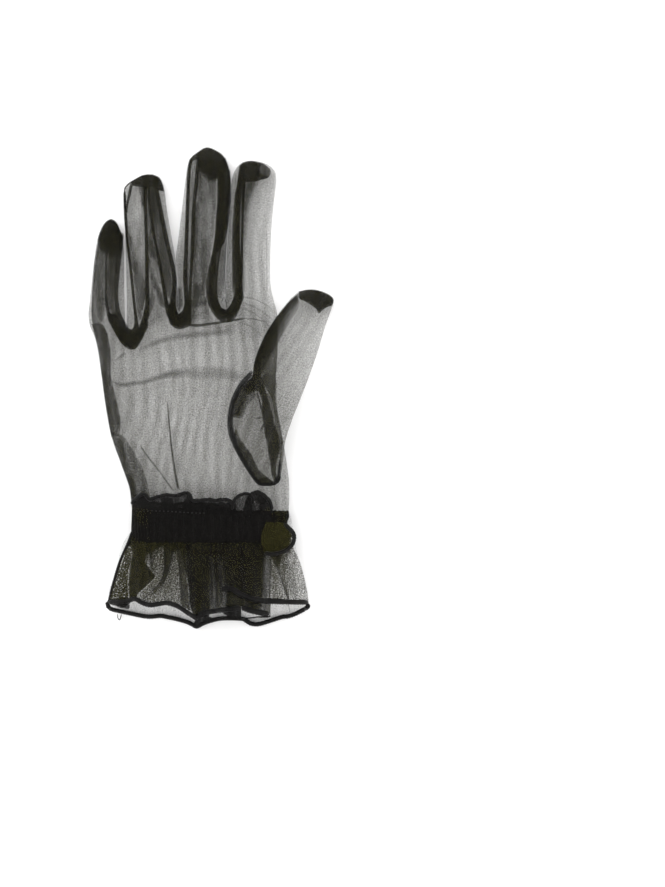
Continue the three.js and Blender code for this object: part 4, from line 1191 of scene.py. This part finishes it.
# Pleats and gathers of the ruffle that lie on one another: layers, how far they are lifted off the
# upper side, and outlines as above.
PLEATS = [
    # the deep gathers under the band
    (14.0, -0.9, [
        (184, 536, 0), (264, 536, 0), (263, 556, 8), (244, 568, 18), (214, 558, 18), (190, 554, 10),
    ]),
    (2.4, -1.9, [
        (184, 536, 0), (264, 536, 0), (263, 590, 16), (240, 596, 22), (204, 592, 22), (187, 580, 8),
    ]),
    (20.0, -0.8, [
        (131.4, 536, 0), (289, 536, 0), (289, 546, 3), (280, 551, 4), (263, 556, 6), (240, 564, 12),
        (215, 558, 10), (196, 558, 8), (180, 550, 6), (172, 554, 6), (162, 546, 4), (152, 552, 4),
        (141, 552, 4), (134, 548, 1),
    ]),
    # the hem's left corner
    (12.0, -0.6, [
        (108.6, 598.6, 0), (118, 598.8, 0), (131, 597.8, 0), (132.4, 600), (128, 604.4), (122, 608.2),
        (116, 606.2), (109.6, 603.8, 0.6),
    ]),
    (5.0, -0.8, [(118.6, 603), (130.2, 600.6, 0.6), (129.6, 609.6, 0.6), (124, 608.8), (119, 606.8)]),
    # the kite that hangs out of the band on the left
    (9.0, -1.6, [
        (131.6, 532, 0), (170, 536, 0), (164, 546, 3), (154, 550, 4), (145.6, 560, 3), (150.8, 569.4),
        (156, 576.6), (152.1, 580.5), (144.2, 588.4), (137.7, 594.3), (136.4, 598.6), (129.2, 600),
        (128.5, 582, 2), (129.6, 566.2, 3), (131.6, 552, 2), (130, 547), (127, 546.6), (129.2, 540, 0),
    ]),
    (2.4, -1.0, [(136, 540, 0), (160, 540, 0), (158, 552, 5), (150, 562, 5), (146, 570, 4), (138, 560)]),
    # its fold, and the panel beside the middle
    (4.6, -1.2, [
        (163.5, 536, 0), (174, 536, 0), (173.4, 551), (169.6, 568), (165, 582, 1), (160, 589, 2),
        (153, 595, 2), (145, 600, 2), (153.6, 590.4), (160, 581.6), (163.4, 571), (163.5, 553),
    ]),
    (2.4, -1.0, [
        (174, 536, 0), (184, 536, 0), (184, 556), (187, 573), (189.6, 589), (191.6, 602), (193, 612, 0),
        (186, 608, 0), (180.4, 604, 1), (179.4, 586), (177.8, 563), (174, 552, 3),
    ]),
    # the middle
    (5.0, -1.1, [
        (186, 560, 4), (200, 560, 2), (202, 590, 3), (198, 618, 0), (193, 613, 0), (190.2, 605, 1),
        (188.8, 590, 2),
    ]),
    (4.4, -1.2, [
        (176, 536, 0), (276, 536, 0), (266, 550), (262.4, 560, 3), (261.8, 575, 3), (262, 598, 2),
        (262, 612, 0), (256, 610.6, 0), (241.4, 606.4, 0), (235, 608.6, 0), (219, 609.4, 0), (204.4, 613, 0),
        (200.4, 614.6, 0), (198, 619.6, 0), (194, 615.6, 0), (190.4, 608), (188.8, 589), (185.4, 572.7),
        (181, 556.4, 2),
    ]),
    (3.6, -2.0, [
        (180, 536, 0), (209, 536, 0), (211, 560, 3), (209.6, 590, 3), (209, 609.6, 0), (199.4, 618, 0),
        (195, 610, 2), (193, 590, 4), (190, 566, 4), (184, 548, 4),
    ]),
    (3.0, -2.8, [
        (196, 536, 0), (206, 536, 0), (207, 575, 2), (205, 611, 0), (199, 618, 0), (196, 600, 2),
        (195, 566, 2),
    ]),
    (4.4, -2.4, [
        (222, 536, 0), (270, 536, 0), (267, 556, 4), (264.6, 572, 4), (264, 592, 3), (259, 611, 1),
        (241.4, 606.4, 0), (225, 608.8, 0), (227, 590, 3), (226, 560, 3),
    ]),
    # the hem's tucks, and its dip to the right of them
    (9.0, -1.4, [
        (194.6, 615, 0.6), (198, 613, 0), (204, 611, 0), (209.6, 612.6), (209.4, 616.4), (213, 617.6),
        (213, 620.6, 0), (203, 624, 0), (196.6, 627, 0), (193.6, 624.6, 0), (194.8, 620.4, 0.6),
    ]),
    (9.0, -1.4, [
        (218, 611.4), (225, 610), (232, 607.4, 0), (241.4, 606, 0.6), (241.4, 619.4, 0.6), (232, 619.4, 0),
        (219, 619.4, 0), (212, 618.4), (222, 616.8), (227.4, 616.6), (222, 613),
    ]),
    (0.4, -1.4, [(246, 618.4, 0), (269, 617.4, 0), (264, 622, 0), (257, 624.2, 0), (251.4, 623.6, 0)]),
    # the right side, under the flap
    (2.6, -1.4, [
        (259, 536, 0), (271, 536, 0), (272, 556, 1), (273, 571, 2), (270.6, 584, 0.6), (270.6, 600, 0),
        (270.6, 614.6, 0), (261, 611, 0), (259.6, 590), (259, 560),
    ]),
    (4.0, -1.0, [(269.6, 552, 0), (284, 552, 0), (281.6, 560), (279, 571, 2), (275.4, 566), (272, 561)]),
    (1.5, -1.0, [
        (276, 562, 0), (283.6, 555, 0), (285.4, 575, 1), (289.4, 599, 0), (287.4, 599, 0), (281.6, 582),
    ]),
    (2.0, -1.2, [(262, 536, 0), (290, 538, 0), (294, 546, 2), (290, 556, 4), (280, 562, 5), (272, 560, 4)]),
]
# Folds on the left that are sheer enough to show their net.
SHEER_PLEATS = [
    # the strip along the left fold
    (6.2, -1.0, [
        (127, 547, 0), (132.5, 548.5), (131, 560), (128.4, 574), (128.5, 586), (128, 600, 0), (110.4, 602, 0),
        (112.4, 590, 0), (116, 580.5, 0), (119.4, 569, 0), (123.4, 559, 0),
    ]),
    (1.7, -1.5, [
        (150, 540, 0), (184, 540, 0), (187, 573), (190, 600), (190, 612, 0), (176.9, 604.7, 0),
        (163.9, 602.8, 0), (150.8, 605.7, 0), (140.3, 601.5, 0), (140, 594), (156, 577), (150, 567),
    ]),
]
for name, folds, material, turn in (
    ("ruffle_pleats", PLEATS, DOUBLED, 0.0),
    ("ruffle_pleats_left", SHEER_PLEATS, CROSSED_NET, 0.2),
):
    pleats = new_cloth()
    for layers, lift, points in folds:
        doubling(pleats, cuff_top, layers, points, lift, turn, CUFF_PITCH)
    finish_piece(name, pleats, material)

# The two edges of the fold beside the kite: layers, then x, y and width.
FOLD_LINES = [
    (2.2, [
        (164.6, 547, 2), (165.6, 563, 2.4), (162.8, 577, 2.4), (158.6, 584.4, 2.2), (149, 594, 1.8),
        (142, 601, 1.6),
    ]),
    (1.8, [(173.2, 549, 3), (170.4, 564, 3), (165.6, 577, 2.4), (161.4, 587, 1.8)]),
    (1.6, [(159, 547, 2), (155.4, 556, 2.2), (150.4, 566, 2)]),
]
# Gathers that fan out of the band: where each starts and ends, its width there and its layers.
GATHERS = [
    ((150, 545), (152, 572), 2, 4, 1.6), ((177, 541), (183, 602), 3, 4, 1.2),
    ((187, 541), (192, 606), 4, 5, 1.6), ((211, 541), (212, 606), 2, 3, 2.2),
    ((215, 541), (217, 606), 2, 3, 1.6), ((219, 541), (222, 604), 2, 3, 2.0),
    ((223, 541), (227, 600), 2, 4, 1.6), ((240, 541), (244, 600), 4, 7, 1.4),
    ((262, 541), (266, 600), 3, 4, 1.4), ((274.4, 560), (288, 598), 1.6, 1.6, 3.4),
    ((270.4, 556), (269.8, 599), 2, 1.8, 1.6), ((287, 596), (290, 613), 1.6, 1.6, 1.6),
    ((284, 556), (289.4, 599), 1.2, 1.2, 1.0), ((286, 558), (296, 600), 4, 8, 0.6),
]


def gather_line(start, end, width, spread):
    """A straight gather that widens evenly from its start to its end."""
    first, last = (*start, width), (*end, spread)
    return line([[a + (b - a) * t for a, b in zip(first, last)] for t in (0, 0.25, 0.5, 0.75, 1)])


gathers = new_cloth()
for start, end, width, spread, layers in GATHERS:
    strip(gathers, on_cloth(gather_line(start, end, width, spread), cuff_top, layers, 0.1), soft=0.9)
for layers, points in FOLD_LINES:
    strip(gathers, on_cloth(line(points), cuff_top, layers, 0.1), soft=0.6)
finish_piece("ruffle_gathers", gathers, DOUBLED)

# The hem's overlocked rolls, each with its radius, a loose end of thread and the left fold's edge.
HEM_ROLLS = [
    (HEM_LEFT, cuff_top, 1.25), (HEM_MIDDLE[:-3], cuff_top, 1.3), (HEM_MIDDLE[-4:], cuff_top, 1.5),
    (HEM_TUCK, cuff_top, 0.4), (HEM_RIGHT[:9], cuff_top, 1.5), (HEM_RIGHT[7:], cuff_top, 1.35),
    (LOWER_HEM, cuff_bottom, 1.15),
    ([(117.4, 614), (118.1, 618.5), (119.7, 620.2), (120.7, 617.2), (121.4, 614)], cuff_bottom, 0.2),
    (LEFT_FOLD, cuff_top, 0.8),
]
hems = new_cloth()
for points, height, radius in HEM_ROLLS:
    roll(hems, [(x, y, max(height(x, y), radius), radius) for x, y in line(points, ROLL_STEP)])
finish_piece("hem_roll", hems, OVERLOCK, ["rolled_hem"])

# The band's section, its place along the glove, its ribs, and the places round each and across it.
BAND_LEFT, BAND_RIGHT, BAND_UNDER, BAND_HEIGHT = -40.2, 38.6, 0.35, 15.6
BAND_FOOT, BAND_WIDTH = -77.4, 15.8
BAND_RIBS, RIB_PLACES, BAND_ROWS = 104, 6, 14
PLACE_WIDTH = 0.0004  # metres of flat cloth from one place round the band to the next
DENT_Y = -68  # where the band is pinched in at its right end


def even_ring(left, right, base, height, count):
    """Places evenly spaced round an upright section with a flat underside."""
    fine = []
    middle, half = (left + right) / 2, (right - left) / 2
    for i in range(6 * count):
        angle = 2 * math.pi * i / (6 * count)
        c, s = math.cos(angle), math.sin(angle)
        power = TOP_ROUND if s >= 0 else UNDER_ROUND
        across, up = abs(c) ** (2 / power), abs(s) ** (2 / power)
        up = up if s >= 0 else -min(1.0, UNDER_FLAT * up)
        fine.append((middle + half * math.copysign(across, c), base + height / 2 * (1 + up)))
    total = sum(math.dist(a, b) for a, b in zip(fine, fine[1:] + fine[:1]))
    places, walked, k = [], 0.0, 0
    for a, b in zip(fine, fine[1:] + fine[:1]):
        step = math.dist(a, b)
        while k < count and walked + step > total * k / count:
            t = (total * k / count - walked) / step if step else 0.0
            places.append((a[0] + (b[0] - a[0]) * t, a[1] + (b[1] - a[1]) * t))
            k += 1
        walked += step
    return places


def band_cloth():
    """The shirred band: a ring of fine ribs that swells between its two ragged edges."""
    band = new_cloth()
    count = BAND_RIBS * RIB_PLACES
    ring = even_ring(BAND_LEFT, BAND_RIGHT, BAND_UNDER, BAND_HEIGHT, count)
    made, amount = grid(band, count, BAND_ROWS)
    flat = {}
    for v in made:
        i = round((v.co.x + 1) / 2 * count) % count
        j = round((v.co.y + 1) / 2 * BAND_ROWS)
        a, b = Vector(ring[i - 1]), Vector(ring[(i + 1) % count])
        out = Vector((b.y - a.y, a.x - b.x)).normalized()
        y = BAND_FOOT + BAND_WIDTH * j / BAND_ROWS
        sway = 1.4 * noise.noise(Vector((i / 30, y / 5, 2.0)))
        uneven = 0.3 * noise.noise(Vector((i / 22, y / 7, 8.0)))
        rib = 0.15 * math.sin(2 * math.pi * i / RIB_PLACES + sway) + uneven
        swell = 0.35 * math.sin(math.pi * j / BAND_ROWS)
        place = Vector(ring[i]) + out * (rib + swell - 0.3)
        rim = abs(2 * j / BAND_ROWS - 1) ** 6
        tooth = noise.noise(Vector((i / 5, 2.0 * (j > BAND_ROWS / 2), 9.0)))
        ragged = 0.25 * noise.noise(Vector((i / 9, j, 4.0))) + 0.9 * rim * tooth
        dent = 1.3 * math.exp(-(((y - DENT_Y) / 2.2) ** 2)) * ease(30, 38, place.x)
        v.co = (place.x - dent, y + ragged, max(place.y, 0.05))
        v[amount] = 3.0 - 1.2 * rim
        flat[v] = (i * PLACE_WIDTH, y * MM)
    lay_flat(band, flat)
    bmesh.ops.remove_doubles(band, verts=band.verts, dist=0.002)
    bmesh.ops.recalc_face_normals(band, faces=band.faces)
    return band


finish_piece("shirred_band", band_cloth(), SHIRRED, ["wrist_band"])

# The heading above the band, with two loops of its edge that stand up at its right.
HEADING_EDGE = [
    (132.2, 505), (133.4, 500.6), (137, 498), (140.4, 495), (144.3, 494), (147.6, 497.4), (150, 499.4),
    (157, 497), (166.5, 494.9), (173, 495.6), (178.5, 495.2), (183, 493.4), (187, 492.8), (189.8, 495),
    (191.2, 499), (194, 500.6), (199.7, 500.4), (205, 499.8), (210, 499.6), (215, 500.6), (221, 499.8),
    (228, 500), (231.6, 502.6), (233.6, 506),
]
LOOP_EDGE = [
    (232.4, 510), (232.6, 504), (235.6, 498.6), (240, 495.2), (245.6, 493.6), (250.6, 495), (253, 499),
    (252.4, 505),
]
NEXT_LOOP_EDGE = [
    (248.6, 497), (252.4, 493.4), (257, 491.8), (262.6, 494), (267, 498), (270, 502), (271.4, 508),
    (271, 514),
]
UNDER_EDGE = [
    (132.4, 507), (150, 502.6), (170, 505), (190, 502), (212, 504.6), (226, 508), (238, 515), (262, 515),
    (275, 514), (287, 514.4),
]
# Its parts: layers, lift and outlines as for the pleats.
HEADING_PARTS = [
    (4.6, 0.2, [*HEADING_EDGE, (236, 512), (236, 519), (132, 519)]),
    (6.0, -0.6, [
        (132, 505, 0), (134, 501), (144, 496), (150, 501.4), (152.6, 505.6, 2), (160.6, 506.6, 2),
        (163, 499, 2), (173, 497, 2), (175.6, 506, 2), (182.6, 508, 2), (184.6, 500, 2), (189, 496),
        (193, 502), (236, 503), (236, 519, 0), (132, 519, 0),
    ]),
    (3.4, 0.4, [*LOOP_EDGE, (250, 518), (232, 518)]),
    (7.0, 0.1, [
        (247.4, 496), (251, 494.6), (254, 497), (252.4, 505), (249.4, 518), (241, 518), (243.4, 508),
        (245.6, 501),
    ]),
    (5.4, -0.6, [(250, 503), (262, 501), (263, 518), (247, 518)]),
    (9.0, -0.4, [
        (251, 494), (257, 491.8), (263, 494), (268, 499), (264, 504, 2), (257, 503.4, 2), (253, 500),
    ]),
    (8.0, -0.6, [
        (262, 495), (267, 498), (270.4, 502), (271.6, 508), (273, 511, 2), (281, 511.6, 2), (287.6, 512.4, 2),
        (287.6, 519, 0), (258.6, 519, 0), (259.6, 505),
    ]),
]
HEADING_SOFT = 0.8  # pixels over which the heading's edges fade, where its outlines don't say
heading = new_cloth()
for layers, lift, points in HEADING_PARTS:
    points = [(x, y, *(soft or (HEADING_SOFT,))) for x, y, *soft in points]
    doubling(heading, cuff_top, layers, points, lift, pitch=CUFF_PITCH)
panel(
    heading, [plain_loop(UNDER_EDGE, [(287, 514.4), (287, 518), (132, 518), (132.4, 507)])],
    lambda x, y: cuff_bottom(x, y, 0.2), lambda x, y: 2.2, turn=0.3, pitch=CUFF_PITCH, down=True,
)
finish_piece("heading_net", heading, DOUBLED)

# The rolls along the heading's edges: lift and radius.
EDGE_ROLLS = [
    (HEADING_EDGE, cuff_top, 0.3, 1.0), (LOOP_EDGE, cuff_top, 0.6, 0.9),
    (NEXT_LOOP_EDGE, cuff_top, -0.4, 1.0), (UNDER_EDGE, cuff_bottom, 0.7, 0.7),
]
edges = new_cloth()
for points, height, lift, radius in EDGE_ROLLS:
    roll(edges, [
        (x, y, height(x, y, lift), radius * (1 + 0.35 * ripple(x, y, 1.7, 2.0)))
        for x, y in line(points, ROLL_STEP)
    ])

# The small loose flap of ruffle at the band's right end.
FLAP_EDGE = [
    (284, 523), (288.6, 527.6), (292, 531), (294, 534.8), (294.2, 539), (292.4, 544.4), (287.8, 549),
    (283, 551.8), (276.5, 553.6), (270, 554), (264, 553),
]


def flap_top(x, y, lift=0.0):
    """The flap lies 1.4 mm above the ruffle, and doesn't follow its fall beyond the band's end."""
    return max(cuff_top(min(x, 37.0), y), 13.0) + 1.4 + lift


flap = new_cloth()
flap_outline = plain_loop(FLAP_EDGE, [(264, 553), (261, 538), (266, 522), (284, 523)])
panel(flap, [flap_outline], flap_top, lambda x, y: 3.6, turn=0.9, pitch=CUFF_PITCH)
doubling(flap, flap_top, 9.0, [
    (264, 552, 0), (261, 538, 0), (266, 522, 0), (284, 523, 0), (288.6, 528), (292, 532), (292.6, 536),
    (288.6, 540.4, 2), (284, 543, 2), (280.6, 546.4, 2), (281.4, 550, 2), (276, 552.6), (270, 553),
], -0.4)
finish_piece("ruffle_flap", flap, CUFF_NET)
roll(edges, [(x, y, flap_top(x, y), 1.1) for x, y in line(FLAP_EDGE, ROLL_STEP)])
finish_piece("heading_roll", edges, OVERLOCK)

# Stitches along the band's upper edge, one every two millimetres.
BAND_STITCHES = [(136, 511.6), (150, 510.8), (172, 511.4), (194, 513), (206, 513)]
stitches = new_cloth()
for x, y in line(BAND_STITCHES)[::2]:
    roll(stitches, [(x + d, y, cuff_top(x, y) + 0.9, 0.22) for d in (-0.35, 0, 0.35)], sides=6)
finish_piece("band_stitches", stitches, TOPSTITCH)

# The cloth as it was cut: width, length and area in metres, how it is held, what it lies on or hangs
# from, and its trimmings.
SHEETS = [
    ("back_net", 0.102, 0.199, 0.0140, "laid", [], []),
    ("palm_net", 0.102, 0.202, 0.0144, "laid", ["back_net"], []),
    ("side_net_little_ring", 0.028, 0.096, 0.0022, "folded", ["back_net"], []),
    ("side_net_ring_middle", 0.028, 0.100, 0.0024, "folded", ["back_net"], []),
    ("side_net_middle_index", 0.028, 0.092, 0.0024, "folded", ["back_net"], []),
    ("seam_allowances", 0.026, 0.100, 0.0022, "folded", ["palm_net"], []),
    ("hand_doublings", 0.102, 0.190, 0.0108, "folded", ["palm_net"], []),
    ("thumb_net", 0.066, 0.110, 0.0054, "folded", ["palm_net"], []),
    ("thumb_seams", 0.040, 0.100, 0.0021, "folded", ["thumb_net"], []),
    ("ruffle_upper", 0.120, 0.042, 0.0044, "gathered", ["shirred_band"], ["hem_roll"]),
    ("ruffle_lower", 0.120, 0.048, 0.0050, "gathered", ["shirred_band"], []),
    ("ruffle_pleats", 0.154, 0.050, 0.0077, "gathered", ["shirred_band"], []),
    ("ruffle_pleats_left", 0.044, 0.045, 0.0009, "gathered", ["shirred_band"], []),
    ("ruffle_gathers", 0.030, 0.042, 0.0009, "gathered", ["shirred_band"], []),
    ("ruffle_flap", 0.030, 0.024, 0.0005, "folded", ["shirred_band"], []),
    ("heading_net", 0.140, 0.018, 0.0022, "gathered", ["shirred_band"], ["heading_roll"]),
    ("shirred_band", 0.210, 0.018, 0.0036, "stretched", [], ["band_stitches"]),
]
pieces = bpy.data.objects
for name, width, length, area, held, under, trimmings in SHEETS:
    [pieces[trim] for trim in trimmings]
    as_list(under)

# Stage, light and camera.

ground = bmesh.new()
bmesh.ops.create_circle(ground, cap_ends=True, segments=96, radius=4.0)
floor_mesh = bpy.data.meshes.new("floor")
ground.to_mesh(floor_mesh)
ground.free()
paper = bpy.data.materials.new("white table")
paper.use_nodes = True
set_inputs(paper.node_tree.nodes["Principled BSDF"], {
    "Base Color": (0.96, 0.957, 0.953, 1), "Roughness": 0.9, "Specular IOR Level": 0.1,
})
floor_mesh.materials.append(paper)
place_object("floor", floor_mesh, (0, 0, -0.0002))

scene = bpy.context.scene
world = bpy.data.worlds.new("studio")
world.use_nodes = True
set_inputs(world.node_tree.nodes["Background"], {"Color": (1.0, 1.0, 1.0, 1), "Strength": 1.25})
scene.world = world

softbox = bpy.data.lights.new("overhead softbox", "AREA")
softbox.shape = "DISK"
softbox.size = 1.6
softbox.energy = 9.0
lamp = place_object("overhead softbox", softbox, (-0.35, 0.35, 1.5))
lamp.rotation_euler = (Vector((0.02, 0, 0)) - lamp.location).to_track_quat("-Z", "Y").to_euler()
scene.view_settings.view_transform = "Standard"
scene.cycles.transparent_max_bounces = 64

lens = bpy.data.cameras.new("camera")
lens.lens = LENS
lens.sensor_width = SENSOR
scene.camera = place_object("camera", lens, (EYE_X * MM, EYE_Y * MM, EYE_Z * MM))
